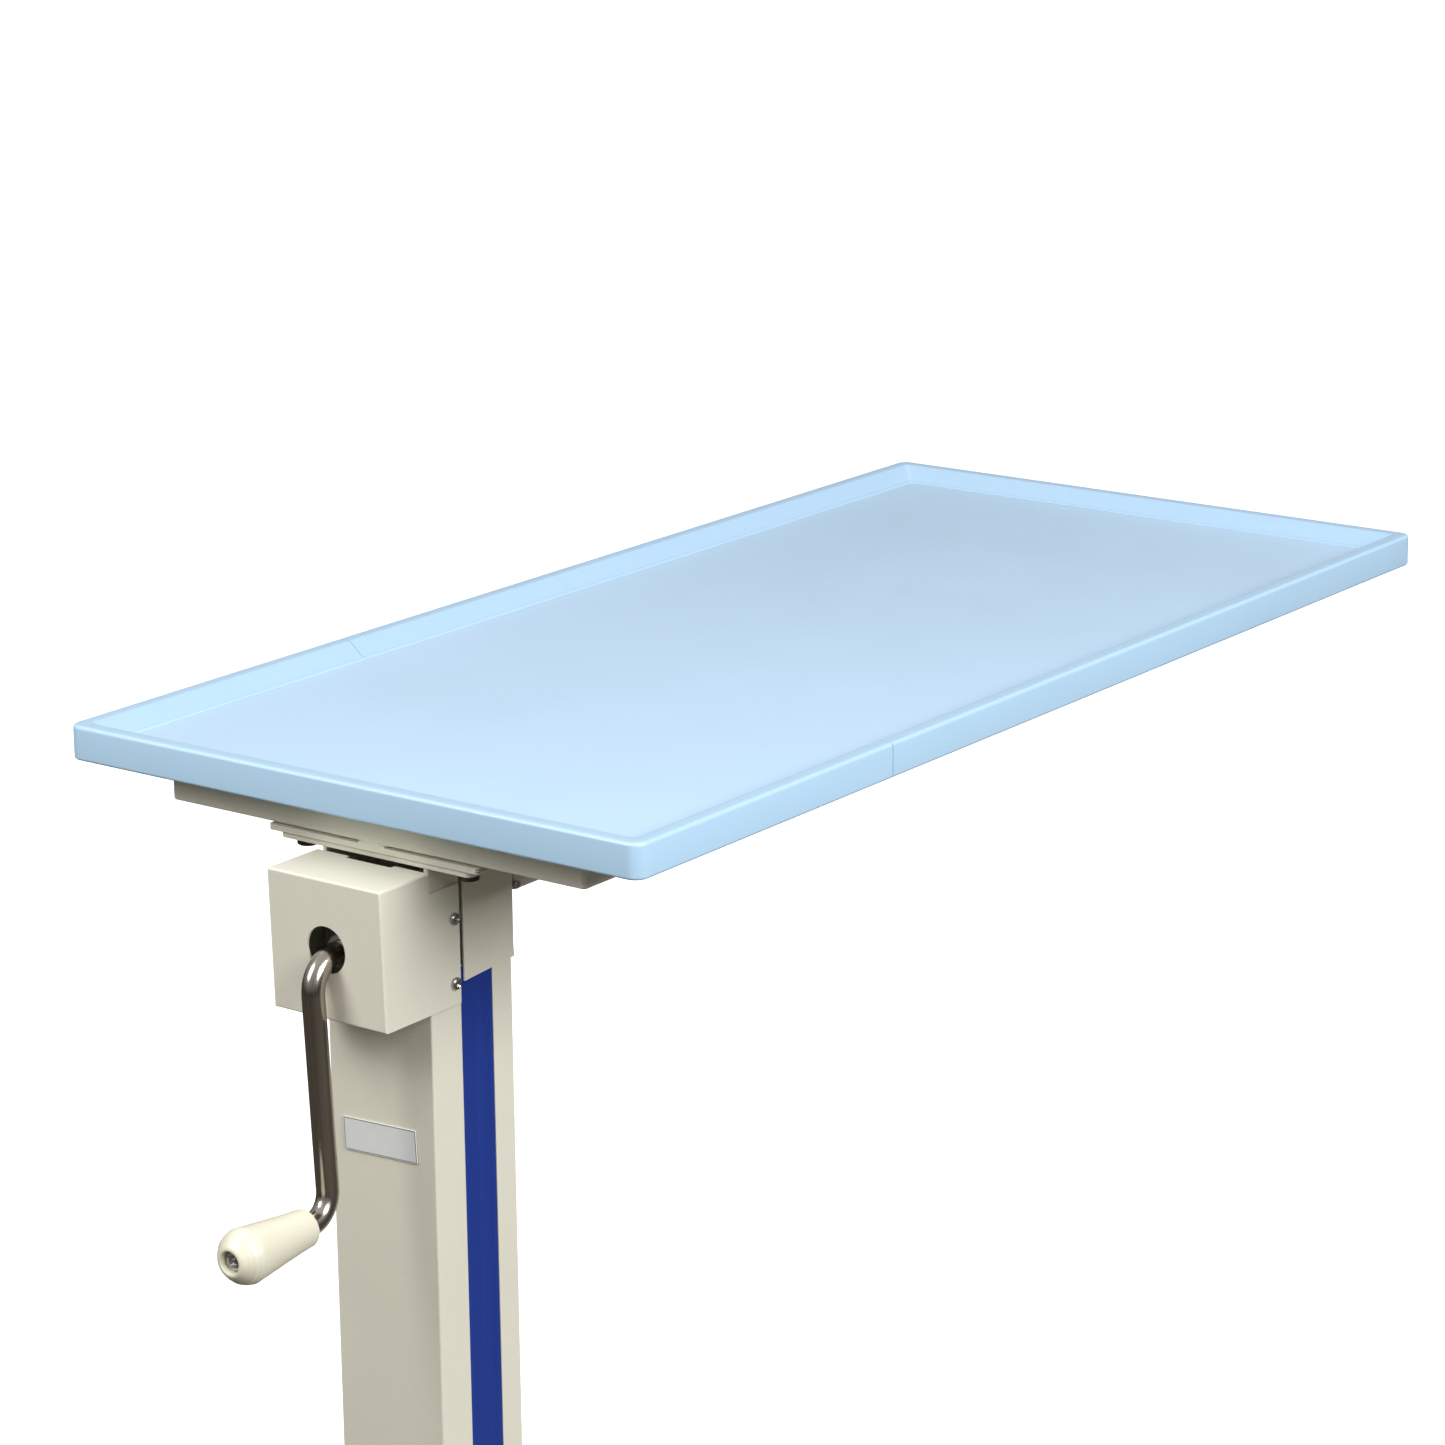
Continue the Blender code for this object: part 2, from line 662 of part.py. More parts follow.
def crank_grip(parent):
    """A tapered grip with a rounded fat end and a recess for its screw."""
    length = GRIP_START - GRIP_END
    bore = SPINDLE_RADIUS + GAP
    fat_round, thin_round = 0.009, 0.002
    profile = [(0.0, bore), (0.0, GRIP_THIN - thin_round), (thin_round, GRIP_THIN)]
    for step in range(5):
        angle = math.pi / 2 * step / 4
        profile.append((length - fat_round * (1 - math.sin(angle)),
                        GRIP_FAT - fat_round * (1 - math.cos(angle))))
    profile.append((length, GRIP_RECESS))
    profile.append((length - GRIP_RECESS_DEPTH, GRIP_RECESS))
    profile.append((length - GRIP_RECESS_DEPTH, bore))
    profile = [(GRIP_START - along, radius) for along, radius in profile]
    shape = turned("X", profile, 28, (GRIP_Y, GRIP_Z), True)
    smooth(piece("crank_grip", shape, plastic("crank_grip", IVORY), parent))


def grip_screw(parent):
    """The pan head in the grip's recess, clamped on the end of the rod."""
    seat = GRIP_END + GRIP_RECESS_DEPTH - GAP
    profile = [(seat, 0.0048), (seat - 0.0015, 0.0048), (seat - 0.0028, 0.0036), (seat - 0.0031, 0.0018)]
    shape = turned("X", profile, 18, (GRIP_Y, GRIP_Z))
    smooth(piece("grip_screw", shape, metal("grip_screw", ZINC), parent))


def crank_socket(parent):
    """A shaft with a bored head that holds the rod."""
    front = COVER_FRONT + 0.010
    step = COLUMN_FRONT - 0.009
    end = COLUMN_X - GEAR_RADIUS + GEAR_FACE + 0.0010
    bore = ROD_RADIUS + GAP
    profile = [(front + 0.0160, bore), (front, bore), (front, SOCKET_RADIUS - 0.001),
               (front + 0.001, SOCKET_RADIUS), (step, SOCKET_RADIUS), (step, SHAFT_RADIUS),
               (end, SHAFT_RADIUS)]
    shape = turned("X", profile, 24, (0.0, CRANK_Z))
    smooth(piece("crank_socket", shape, metal("crank_socket", STEEL, 0.45), parent))


def shaft_bush(parent):
    plate_front = COLUMN_FRONT - BRACKET_LEAD - BRACKET_SHEET
    bore = SHAFT_RADIUS + GAP
    seat = plate_front - GAP
    end = plate_front + BRACKET_SHEET + 0.004
    lip, flange = 0.0025, 0.0118
    profile = [(seat - lip, bore), (seat - lip, flange), (seat, flange), (seat, BUSH_RADIUS),
               (end, BUSH_RADIUS), (end, bore)]
    shape = turned("X", profile, 24, (0.0, CRANK_Z), True)
    smooth(piece("shaft_bush", shape, metal("shaft_bush", BRONZE, 0.4), parent))


def gear_bracket(parent):
    """An angle inside the column's window. It holds the bush and the bearing."""
    front = COLUMN_FRONT - BRACKET_LEAD - BRACKET_SHEET
    rear = COLUMN_REAR - COLUMN_WALL - 0.0012
    low, high = BRACKET_Z, CRANK_Z + 0.018
    outline = [(front, low), (rear, low), (rear, low + BRACKET_SHEET),
               (front + BRACKET_SHEET, low + BRACKET_SHEET), (front + BRACKET_SHEET, high), (front, high)]
    outline = [(z, x) for x, z in outline]
    body = prism("Y", outline, -BRACKET_HALF, BRACKET_HALF)
    for_bush = prism("X", circle(BUSH_RADIUS + GAP, 24, (0.0, CRANK_Z)), NEAR_END, COLUMN_FRONT + 0.002)
    for_screw = prism("Z", circle(SHAFT_RADIUS + GAP, 24, (COLUMN_X, 0.0)), CUT_LOW, low + 0.01)
    piece("gear_bracket", carve(body, for_bush, for_screw), metal("gear_bracket", STEEL, 0.5), parent)


def gear_ring(distance, half_turn):
    """The outline of a mitre gear's teeth at a distance from the gears' meeting point."""
    ring = []
    for tooth in range(GEAR_TEETH):
        for radius, place in ((0.895, -0.30), (1.085, -0.115), (1.085, 0.115), (0.895, 0.30)):
            turn = 2 * math.pi * (tooth + place + half_turn) / GEAR_TEETH
            ring.append((distance * radius * math.cos(turn), distance * radius * math.sin(turn)))
    return ring


def mitre_gear(axis, apex, centre, half_turn):
    """A gear whose teeth all point at the apex, with a hub behind and a bore."""
    small = GEAR_RADIUS - GEAR_FACE
    rings = []
    for distance in (small, GEAR_RADIUS):
        outline = gear_ring(distance, half_turn)
        rings.append([spot(axis, apex - distance, centre[0] + u, centre[1] + v) for u, v in outline])
    body = loft(rings)
    hub = prism(axis, circle(GEAR_HUB_RADIUS, 24, centre), apex - GEAR_RADIUS - GEAR_HUB + GEAR_FACE,
                apex - GEAR_RADIUS + 0.001)
    bore = prism(axis, circle(SHAFT_RADIUS + GAP, 24, centre), apex - 0.1, apex)
    return carve(join(body, hub), bore)


def bevel_pinion(parent):
    shape = mitre_gear("X", COLUMN_X, (0.0, CRANK_Z), 0.0)
    piece("bevel_pinion", shape, metal("bevel_pinion"), parent)


def bevel_gear(parent):
    shape = mitre_gear("Z", CRANK_Z, (COLUMN_X, 0.0), 0.5)
    piece("bevel_gear", shape, metal("bevel_gear"), parent)


def thrust_bearing(parent):
    low = BRACKET_Z + BRACKET_SHEET + GAP
    high = CRANK_Z - GEAR_RADIUS - GEAR_HUB + GEAR_FACE - GAP
    shape = bored_disc("Z", low, high, 0.013, SHAFT_RADIUS + GAP, 24, (COLUMN_X, 0.0))
    smooth(piece("thrust_bearing", shape, metal("thrust_bearing"), parent))


# ---- Screw, nut and post ---------------------------------------------------


def lead_screw(parent):
    """A left-hand thread with a plain journal above it."""
    shoulder = BRACKET_Z - GAP
    journal = CRANK_Z - GEAR_RADIUS + GEAR_FACE - 0.0005
    around, per_turn = 8, 3
    rings = [(SCREW_BOTTOM, None)]
    thread_start = SCREW_BOTTOM + 0.004
    for row in range(THREAD_TURNS * per_turn + 1):
        rings.append((thread_start + SCREW_LEAD * row / per_turn, row / per_turn))
    rings.append((shoulder, None))
    points = []
    for z, turn in rings:
        ring = []
        for i in range(around):
            angle = 2 * math.pi * i / around
            depth = SCREW_DEPTH
            if turn is not None:
                phase = (turn + i / around) % 1.0
                depth = SCREW_DEPTH * abs(2 * phase - 1)
            radius = SCREW_RADIUS - depth
            ring.append((COLUMN_X + radius * math.cos(angle), radius * math.sin(angle), z))
        points.append(ring)
    body = loft(points)
    top = prism("Z", circle(SHAFT_RADIUS, 24, (COLUMN_X, 0.0)), shoulder - 0.003, journal)
    smooth(piece("lead_screw", join(body, top), metal("lead_screw"), parent))


def screw_nut(parent):
    bore = SCREW_RADIUS + GAP
    seat = POST_TOP + HEAD_PLATE + 2 * GAP
    flange = 0.018
    profile = [(seat - 0.034, bore), (seat - 0.034, NUT_RADIUS), (seat, NUT_RADIUS), (seat, flange),
               (seat + 0.006, flange), (seat + 0.006, bore)]
    shape = turned("Z", profile, 24, (COLUMN_X, 0.0), True)
    smooth(piece("screw_nut", shape, metal("screw_nut", BRONZE, 0.4), parent))


def post_head(parent):
    """The plate on the post that carries the nut."""
    centre = (COLUMN_X, 0.0)
    low = POST_TOP + GAP
    body = prism("Z", rounded_box(0.061, 0.067, 0.003, centre), low, low + HEAD_PLATE)
    hole = prism("Z", circle(NUT_RADIUS + GAP, 24, centre), CUT_LOW, CUT_HIGH)
    piece("post_head", carve(body, hole), metal("post_head", STEEL, 0.5), parent)


def inner_post(parent):
    centre = (COLUMN_X, 0.0)
    outer = rounded_box(POST_DEPTH, POST_WIDTH, 0.003, centre)
    inner = rounded_box(POST_DEPTH - 2 * POST_WALL, POST_WIDTH - 2 * POST_WALL, 0.001, centre)
    shape = tube("Z", outer, inner, LEG_TOP + GAP, POST_TOP)
    piece("inner_post", shape, metal("inner_post", STEEL, 0.35), parent)


def guide_outlines():
    centre = (COLUMN_X, 0.0)
    outer = rounded_box(COLUMN_DEPTH - 2 * COLUMN_WALL - 2 * GAP,
                        COLUMN_WIDTH - 2 * COLUMN_WALL - 2 * GAP, 0.0008, centre)
    inner = rounded_box(POST_DEPTH + 2 * GAP, POST_WIDTH + 2 * GAP, 0.003, centre)
    return outer, inner


def upper_guide(parent):
    outer, inner = guide_outlines()
    shape = tube("Z", outer, inner, POST_TOP - GUIDE_HEIGHT, POST_TOP - GAP)
    piece("upper_guide", shape, plastic("upper_guide", NYLON), parent)


def lower_guide(parent):
    """A sleeve in the column's foot, with a lip under the column's edge."""
    outer, inner = guide_outlines()
    lip = rounded_box(COLUMN_DEPTH, COLUMN_WIDTH, COLUMN_CORNER, (COLUMN_X, 0.0))
    low = COLUMN_FOOT - GAP - 0.003
    levels = [(inner, COLUMN_FOOT + GUIDE_HEIGHT), (inner, low), (lip, low),
              (lip, COLUMN_FOOT - GAP), (outer, COLUMN_FOOT - GAP), (outer, COLUMN_FOOT + GUIDE_HEIGHT)]
    rings = [[(x, y, z) for x, y in outline] for outline, z in levels]
    piece("lower_guide", loft(rings, True), plastic("lower_guide", BLACK_PLASTIC), parent)


# ---- Base ------------------------------------------------------------------


def leg_outline(side, grow=0.0, radius=0.004):
    """A leg's section across the table, as places along Y and Z."""
    centre = (side * LEG_SPREAD / 2, LEG_BOTTOM + LEG_HEIGHT / 2)
    return rounded_box(LEG_WIDTH + grow, LEG_HEIGHT + grow, radius, centre)


def castor_places():
    places = []
    for x in (LEG_START + CASTOR_INSET, LEG_START + LEG_LENGTH - CASTOR_INSET):
        for side in (1, -1):
            places.append((x, side * LEG_SPREAD / 2))
    return places


def base_frame(parent):
    """Two open-ended leg tubes and a cross beam folded from sheet, open below."""
    legs = []
    for side in (1, -1):
        legs.append(tube("X", leg_outline(side), leg_outline(side, -2 * LEG_WALL, 0.002),
                         LEG_START, LEG_START + LEG_LENGTH))
    reach = LEG_SPREAD / 2 - LEG_WIDTH / 2 + 0.001
    sheet = 0.003
    low, high = COLUMN_X - BEAM_WIDTH / 2, COLUMN_X + BEAM_WIDTH / 2
    beam = block((low, -reach, LEG_BOTTOM + 0.004), (high, reach, LEG_TOP))
    hollow = block((low + sheet, -reach - 0.01, 0.0), (high - sheet, reach + 0.01, LEG_TOP - sheet))
    beam = carve(beam, hollow)
    body = join(legs[0], legs[1], beam)
    holes = []
    for x, y in castor_places():
        holes.append(prism("Z", circle(0.0053, 16, (x, y)), 0.0, LEG_BOTTOM + 0.010))
    piece("base_frame", carve(body, *holes), paint("base_frame"), parent)


def leg_caps(parent):
    """Plastic caps with a plug that sits inside the leg."""
    number = 0
    for end, direction in ((LEG_START, -1), (LEG_START + LEG_LENGTH, 1)):
        for side in (1, -1):
            number += 1
            name = f"leg_cap_{number}"
            plug = leg_outline(side, -2 * LEG_WALL - 2 * GAP, 0.002)
            lip = leg_outline(side)
            face = leg_outline(side, -0.003, 0.003)
            levels = [(plug, -0.012), (plug, GAP), (lip, GAP), (lip, 0.0035), (face, 0.005)]
            rings = [[(end + direction * a, y, z) for y, z in outline] for outline, a in levels]
            piece(name, loft(rings), plastic(name, GREY_PLASTIC), parent)


# ---- Castors ---------------------------------------------------------------

FORK_TOP = 0.0575
FORK_SHEET = 0.0025
FORK_HALF = 0.0140
FORK_EYE = 0.009
AXLE_RADIUS = 0.004
PEDAL_X = -0.027             # the pedal's pivot, from the swivel axis
PEDAL_Z = 0.0520


def castor_head_mesh():
    """The fixed ball race and its stem, about a point on the floor under it."""
    profile = [(FORK_TOP + GAP, 0.013), (FORK_TOP + 0.002, 0.019), (CASTOR_TOP - 0.002, 0.019),
               (CASTOR_TOP, 0.017), (CASTOR_TOP, 0.005), (CASTOR_TOP + 0.020, 0.005)]
    return mesh_from(turned("Z", profile, 24), "castor_head")


def castor_fork_mesh():
    """Two cheeks under a crown. The wheel trails behind the swivel axis."""
    cheek = [(FORK_TOP, 0.015), (FORK_TOP - 0.008, 0.013)]
    for step in range(7):
        angle = math.pi * step / 6
        cheek.append((WHEEL_RADIUS - FORK_EYE * math.sin(angle),
                      FORK_EYE * math.cos(angle) - CASTOR_TRAIL))
    cheek.append((PEDAL_Z - 0.004, -0.034))
    cheek.append((FORK_TOP - 0.002, -0.034))
    cheek.append((FORK_TOP, -0.031))
    outside = FORK_HALF + FORK_SHEET
    body = prism("Y", cheek, -outside, outside)
    slot = block((-0.1, -FORK_HALF, 0.0), (0.1, FORK_HALF, FORK_TOP - FORK_SHEET))
    behind = block((-0.1, -FORK_HALF, FORK_TOP - 0.01), (-0.019, FORK_HALF, FORK_TOP + 0.01))
    bore = prism("Y", circle(AXLE_RADIUS + GAP, 16, (WHEEL_RADIUS, -CASTOR_TRAIL)), -0.1, 0.1)
    return mesh_from(carve(body, slot, behind, bore), "castor_fork")


def castor_wheel_mesh():
    """A tyre and its narrower hub, about the wheel's centre."""
    half = WHEEL_WIDTH / 2
    bore = AXLE_RADIUS + GAP
    profile = [(-half - 0.002, bore), (-half - 0.002, 0.008), (-half + 0.003, 0.009),
               (-half + 0.003, 0.016), (-half, 0.018), (-half + 0.001, 0.023),
               (-half + 0.005, WHEEL_RADIUS)]
    profile += [(-along, radius) for along, radius in reversed(profile)]
    return mesh_from(turned("Y", profile, 24, (0.0, 0.0), True), "castor_wheel")


def castor_axle_mesh():
    outside = FORK_HALF + FORK_SHEET + GAP
    head = outside + 0.003
    profile = [(-head, 0.005), (-head + 0.001, 0.0062), (-outside, 0.0062), (-outside, AXLE_RADIUS),
               (outside, AXLE_RADIUS), (outside, 0.0062), (head - 0.001, 0.0062), (head, 0.005)]
    return mesh_from(turned("Y", profile, 12), "castor_axle")


def brake_pedal_mesh():
    """A lever between the fork's cheeks, about its pivot. Pressed down, its finger nears the tyre."""
    outline = [(-0.0015, 0.0045), (0.0020, 0.0045), (0.0028, 0.0), (0.0028, -0.018), (0.0040, -0.034),
               (0.0010, -0.035), (-0.0002, -0.018), (-0.0040, -0.014), (-0.0052, -0.011),
               (-0.0002, -0.006)]
    return mesh_from(prism("Y", outline, -0.0125, 0.0125), "brake_pedal")


def castors(parent):
    head = castor_head_mesh()
    fork = castor_fork_mesh()
    wheel = castor_wheel_mesh()
    axle = castor_axle_mesh()
    pedal = brake_pedal_mesh()
    for number, (x, y) in enumerate(castor_places(), start=1):
        centre = (x - CASTOR_TRAIL, y, WHEEL_RADIUS)
        name = f"castor_head_{number}"
        smooth(copy_of(name, head, metal(name, ZINC), parent, (x, y, 0.0)))
        swivel = pivot(f"swivel_{number}", (x, y, 0.0), parent)
        name = f"castor_fork_{number}"
        copy_of(name, fork, metal(name, ZINC), swivel, (x, y, 0.0))
        name = f"castor_axle_{number}"
        smooth(copy_of(name, axle, metal(name, ZINC), swivel, centre))
        spin = pivot(f"spin_{number}", centre, swivel)
        name = f"castor_wheel_{number}"
        smooth(copy_of(name, wheel, rubber(name), spin, centre))
        if number <= 2:
            name = f"brake_pedal_{number}"
            place = (x + PEDAL_X, y, PEDAL_Z)
            copy_of(name, pedal, plastic(name, BLACK_PLASTIC), swivel, place)


# ---- The whole table -------------------------------------------------------


def build():
    for item in list(bpy.data.objects):
        bpy.data.objects.remove(item)
    base = pivot("base", (0.0, 0.0, 0.0))
    lift = pivot("lift", (COLUMN_X, 0.0, LEG_TOP), base)
    crank = pivot("crank", (COVER_FRONT, 0.0, CRANK_Z), lift)
    spinner = pivot("spinner", (GRIP_START, GRIP_Y, GRIP_Z), crank)
    screw = pivot("screw", (COLUMN_X, 0.0, BRACKET_Z), lift)

    tray_panel(lift)
    rim("rim_short", NEAR_END, -1, lift)
    rim("rim_long", NEAR_END + TOP_LENGTH, 1, lift)
    for make in (support_frame, mounting_plate, column_flange, flange_bolts, rear_gusset,
                 lift_column, side_stripes, label_plate, rear_saddle, crank_cover,
                 cover_screws, gear_bracket, shaft_bush, thrust_bearing, lower_guide):
        make(lift)
    for make in (crank_rod, crank_socket, bevel_pinion, grip_screw):
        make(crank)
    crank_grip(spinner)
    for make in (lead_screw, bevel_gear):
        make(screw)
    for make in (base_frame, leg_caps, inner_post, post_head, screw_nut, upper_guide, castors):
        make(base)


build()
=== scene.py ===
"""The finished look of the overbed table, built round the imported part."""

import json
import math

import bmesh
import bpy
from mathutils import Matrix, Vector, noise

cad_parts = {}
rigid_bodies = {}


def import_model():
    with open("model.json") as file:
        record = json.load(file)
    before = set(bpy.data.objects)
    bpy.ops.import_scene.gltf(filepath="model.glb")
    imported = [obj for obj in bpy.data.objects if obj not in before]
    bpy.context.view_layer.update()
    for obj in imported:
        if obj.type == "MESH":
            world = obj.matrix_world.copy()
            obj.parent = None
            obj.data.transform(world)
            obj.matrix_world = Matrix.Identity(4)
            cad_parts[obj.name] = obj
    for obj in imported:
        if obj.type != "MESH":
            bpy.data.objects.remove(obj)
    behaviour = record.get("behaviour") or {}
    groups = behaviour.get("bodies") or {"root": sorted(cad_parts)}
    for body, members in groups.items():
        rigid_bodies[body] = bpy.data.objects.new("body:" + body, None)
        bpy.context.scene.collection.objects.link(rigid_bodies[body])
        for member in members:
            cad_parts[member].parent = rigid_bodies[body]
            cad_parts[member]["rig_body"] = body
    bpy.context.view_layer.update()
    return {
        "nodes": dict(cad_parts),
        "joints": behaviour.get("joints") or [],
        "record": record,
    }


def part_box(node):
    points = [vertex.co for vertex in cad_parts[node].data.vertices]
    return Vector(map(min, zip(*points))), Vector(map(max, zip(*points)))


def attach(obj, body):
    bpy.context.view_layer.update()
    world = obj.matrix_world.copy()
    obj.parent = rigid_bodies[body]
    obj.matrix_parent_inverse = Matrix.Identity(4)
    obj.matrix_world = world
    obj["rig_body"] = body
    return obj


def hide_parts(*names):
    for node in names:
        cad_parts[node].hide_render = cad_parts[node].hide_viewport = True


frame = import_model()

MM = 0.001
NODES = frame["nodes"]
JOINTS = {joint["name"]: joint for joint in frame["joints"]}
SLOTS = {part["node"]: part["material_slot"] for part in frame["record"]["subparts"]}
bpy.context.scene.view_settings.view_transform = "Standard"

# ---- Materials -------------------------------------------------------------


def add(tree, kind, inputs=None, **settings):
    node = tree.nodes.new(kind)
    for key, value in settings.items():
        setattr(node, key, value)
    for key, value in (inputs or {}).items():
        if isinstance(value, bpy.types.NodeSocket):
            tree.links.new(value, node.inputs[key])
        else:
            node.inputs[key].default_value = value
    return node


def maths(tree, operation, *values):
    return add(tree, "ShaderNodeMath", dict(enumerate(values)), operation=operation).outputs[0]


def noise_value(tree, coords, scale, low, high, detail=3.0, stretch=None):
    """Noise between two values. A stretch gives the pattern a scale per axis."""
    if stretch is not None:
        coords = add(tree, "ShaderNodeMapping", {"Vector": coords, "Scale": stretch}).outputs[0]
    pattern = add(tree, "ShaderNodeTexNoise",
                  {"Vector": coords, "Scale": scale, "Detail": detail, "Roughness": 0.55})
    ranged = add(tree, "ShaderNodeMapRange",
                 {"Value": pattern.outputs[0], "From Min": 0.3, "From Max": 0.7,
                  "To Min": low, "To Max": high})
    return ranged.outputs[0]


def mix(tree, factor, first, second):
    """A colour mix. The node has several sockets of each name, so they go by number here."""
    node = add(tree, "ShaderNodeMix", data_type="RGBA")
    for index, value in ((0, factor), (6, first), (7, second)):
        if isinstance(value, bpy.types.NodeSocket):
            tree.links.new(value, node.inputs[index])
        elif index == 0:
            node.inputs[index].default_value = value
        else:
            node.inputs[index].default_value = (*value, 1.0)
    return node.outputs[2]


def shade(colour, amount):
    return tuple(min(1.0, channel * amount) for channel in colour)


ROUGH_SCALE = 23.0
SCUFF_SCALE = 60.0
WORN_SCALE = 140.0
BUMP_HEIGHT = 0.4 * MM


def look(name, colour, rough, metallic=0.0, mottle=(9.0, 0.03), streak=None, peel=(700.0, 0.06),
         rough_range=0.05, edge=None, coat=0.0, along=False, scuff=0.0, gloss=0.5):
    """A surface with mottled colour, optional streaks of grain or painted sheen, fine bump, and edge wear
    or painted shade.
    """
    material = bpy.data.materials.new(name)
    material.use_nodes = True
    tree = material.node_tree
    shader = tree.nodes["Principled BSDF"]
    if along:
        coords = add(tree, "ShaderNodeAttribute", attribute_name="grain").outputs["Vector"]
    else:
        coords = add(tree, "ShaderNodeTexCoord").outputs["Object"]
    broad = noise_value(tree, coords, mottle[0], 0.0, 1.0, 4.0)
    base = mix(tree, broad, shade(colour, 1 - mottle[1]), shade(colour, 1 + mottle[1]))
    rough_socket = noise_value(tree, coords, ROUGH_SCALE, rough - rough_range, rough + rough_range, 5.0)
    if streak is not None:
        stretch, amount, rough_amount = streak
        lines = noise_value(tree, coords, 1.0, 0.0, 1.0, 2.0, stretch)
        # colour streaks: brushed grain on the steels, painted sheen on the blue stripe
        grain_or_sheen_colour = mix(tree, lines, shade(colour, 1 - amount), shade(colour, 1 + amount))
        base = mix(tree, 0.65, base, grain_or_sheen_colour)
        rough_socket = maths(tree, "MULTIPLY_ADD", lines, rough_amount, rough_socket)
    if scuff:
        marks = noise_value(tree, coords, SCUFF_SCALE, 0.0, 1.0, 8.0, (1.0, 4.0, 1.0))
        marks = add(tree, "ShaderNodeMapRange",
                    {"Value": marks, "From Min": 0.86, "From Max": 1.0, "To Max": scuff}).outputs[0]
        base = mix(tree, marks, base, shade(colour, 0.8))
    if edge is not None:
        # edge colour: worn paint on bevelled edges, and painted shade on the rim's top and inner slope
        worn_or_shaded_colour, strength, least = edge
        mask = add(tree, "ShaderNodeAttribute", attribute_name="edge").outputs["Fac"]
        patches = noise_value(tree, coords, WORN_SCALE, least, 1.0, 6.0)
        factor = maths(tree, "MULTIPLY", mask, patches)
        base = mix(tree, maths(tree, "MULTIPLY", factor, strength), base, worn_or_shaded_colour)
    tree.links.new(base, shader.inputs["Base Color"])
    tree.links.new(rough_socket, shader.inputs["Roughness"])
    shader.inputs["Metallic"].default_value = metallic
    shader.inputs["Specular IOR Level"].default_value = gloss
    shader.inputs["Coat Weight"].default_value = coat
    shader.inputs["Coat Roughness"].default_value = 0.15
    fine = noise_value(tree, coords, peel[0], 0.0, 1.0, 2.0)
    if streak is not None:
        fine = maths(tree, "MULTIPLY_ADD", lines, 0.5, fine)
    bump = add(tree, "ShaderNodeBump", {"Height": fine, "Strength": peel[1], "Distance": BUMP_HEIGHT})
    tree.links.new(bump.outputs[0], shader.inputs["Normal"])
    material.diffuse_color = (*colour, 1.0)
    return material


CREAM = (0.785, 0.76, 0.648)
LOOKS = {
    "tray_blue": look("tray_blue_look", (0.452, 0.617, 0.785), 0.42, mottle=(5.0, 0.018),
                      peel=(900.0, 0.05), scuff=0.10),
    # painted light and shade: the rim's blue is painted lighter for its outer face, and the edge colour
    # paints its top and inner slope darker
    "rim_blue": look("rim_blue_look", (0.485, 0.708, 0.922), 0.36, mottle=(7.0, 0.02),
                     peel=(650.0, 0.06), edge=((0.40, 0.575, 0.75), 1.0, 0.92), coat=0.05),
    "cream_paint": look("cream_paint_look", CREAM, 0.44, mottle=(11.0, 0.022), peel=(520.0, 0.10),
                        edge=((0.86, 0.845, 0.76), 0.4, 0.15), scuff=0.06),
    "dark_steel": look("dark_steel_look", (0.060, 0.045, 0.036), 0.42, 0.55, mottle=(300.0, 0.35),
                       peel=(1500.0, 0.2), rough_range=0.12),
    # painted sheen: the stripe's colour streaks stand in for the sheen lines on its glossy ribs; its
    # roughness and bump streaks are texture
    "stripe_blue": look("stripe_blue_look", (0.016, 0.042, 0.26), 0.34, mottle=(6.0, 0.08),
                        streak=((1100.0, 1100.0, 1.3), 0.22, 0.10), peel=(800.0, 0.05), gloss=0.2),
    "label_white": look("label_white_look", (0.80, 0.82, 0.82), 0.30, mottle=(90.0, 0.02),
                        peel=(1200.0, 0.03), coat=0.3),
    "zinc": look("zinc_look", (0.50, 0.50, 0.49), 0.24, 1.0, mottle=(220.0, 0.12),
                 peel=(1800.0, 0.08), rough_range=0.10),
    "stainless": look("stainless_look", (0.45, 0.405, 0.36), 0.16, 1.0, mottle=(60.0, 0.10),
                      streak=((900.0, 900.0, 7.0), 0.22, 0.08), peel=(1500.0, 0.03),
                      rough_range=0.03, along=True),
    "ivory_plastic": look("ivory_plastic_look", (0.80, 0.765, 0.615), 0.36, mottle=(45.0, 0.02),
                          peel=(900.0, 0.05), edge=((0.80, 0.75, 0.58), 0.25, 0.15), coat=0.15),
    "bright_steel": look("bright_steel_look", (0.58, 0.57, 0.56), 0.34, 0.7, mottle=(40.0, 0.06),
                         streak=((700.0, 700.0, 9.0), 0.12, 0.12), peel=(1200.0, 0.06)),
    "bronze": look("bronze_look", (0.52, 0.34, 0.15), 0.34, 1.0, mottle=(120.0, 0.12),
                   peel=(1300.0, 0.08), rough_range=0.1),
    "nylon": look("nylon_look", (0.76, 0.75, 0.69), 0.5, mottle=(70.0, 0.03), peel=(800.0, 0.08)),
    "black_plastic": look("black_plastic_look", (0.022, 0.022, 0.024), 0.48, mottle=(80.0, 0.2),
                          peel=(1100.0, 0.18), edge=((0.10, 0.10, 0.10), 0.35, 0.15)),
    "grey_plastic": look("grey_plastic_look", (0.13, 0.13, 0.14), 0.52, mottle=(70.0, 0.10),
                         peel=(1000.0, 0.16), edge=((0.24, 0.24, 0.25), 0.3, 0.15)),
    "castor_tyre": look("castor_tyre_look", (0.10, 0.10, 0.105), 0.72, mottle=(90.0, 0.16),
                        peel=(900.0, 0.25), rough_range=0.08, scuff=0.3),
}
LABEL_LINE = look("label_line_look", (0.16, 0.17, 0.17), 0.4, mottle=(300.0, 0.15), peel=(1200.0, 0.03))

# ---- Shapes ----------------------------------------------------------------

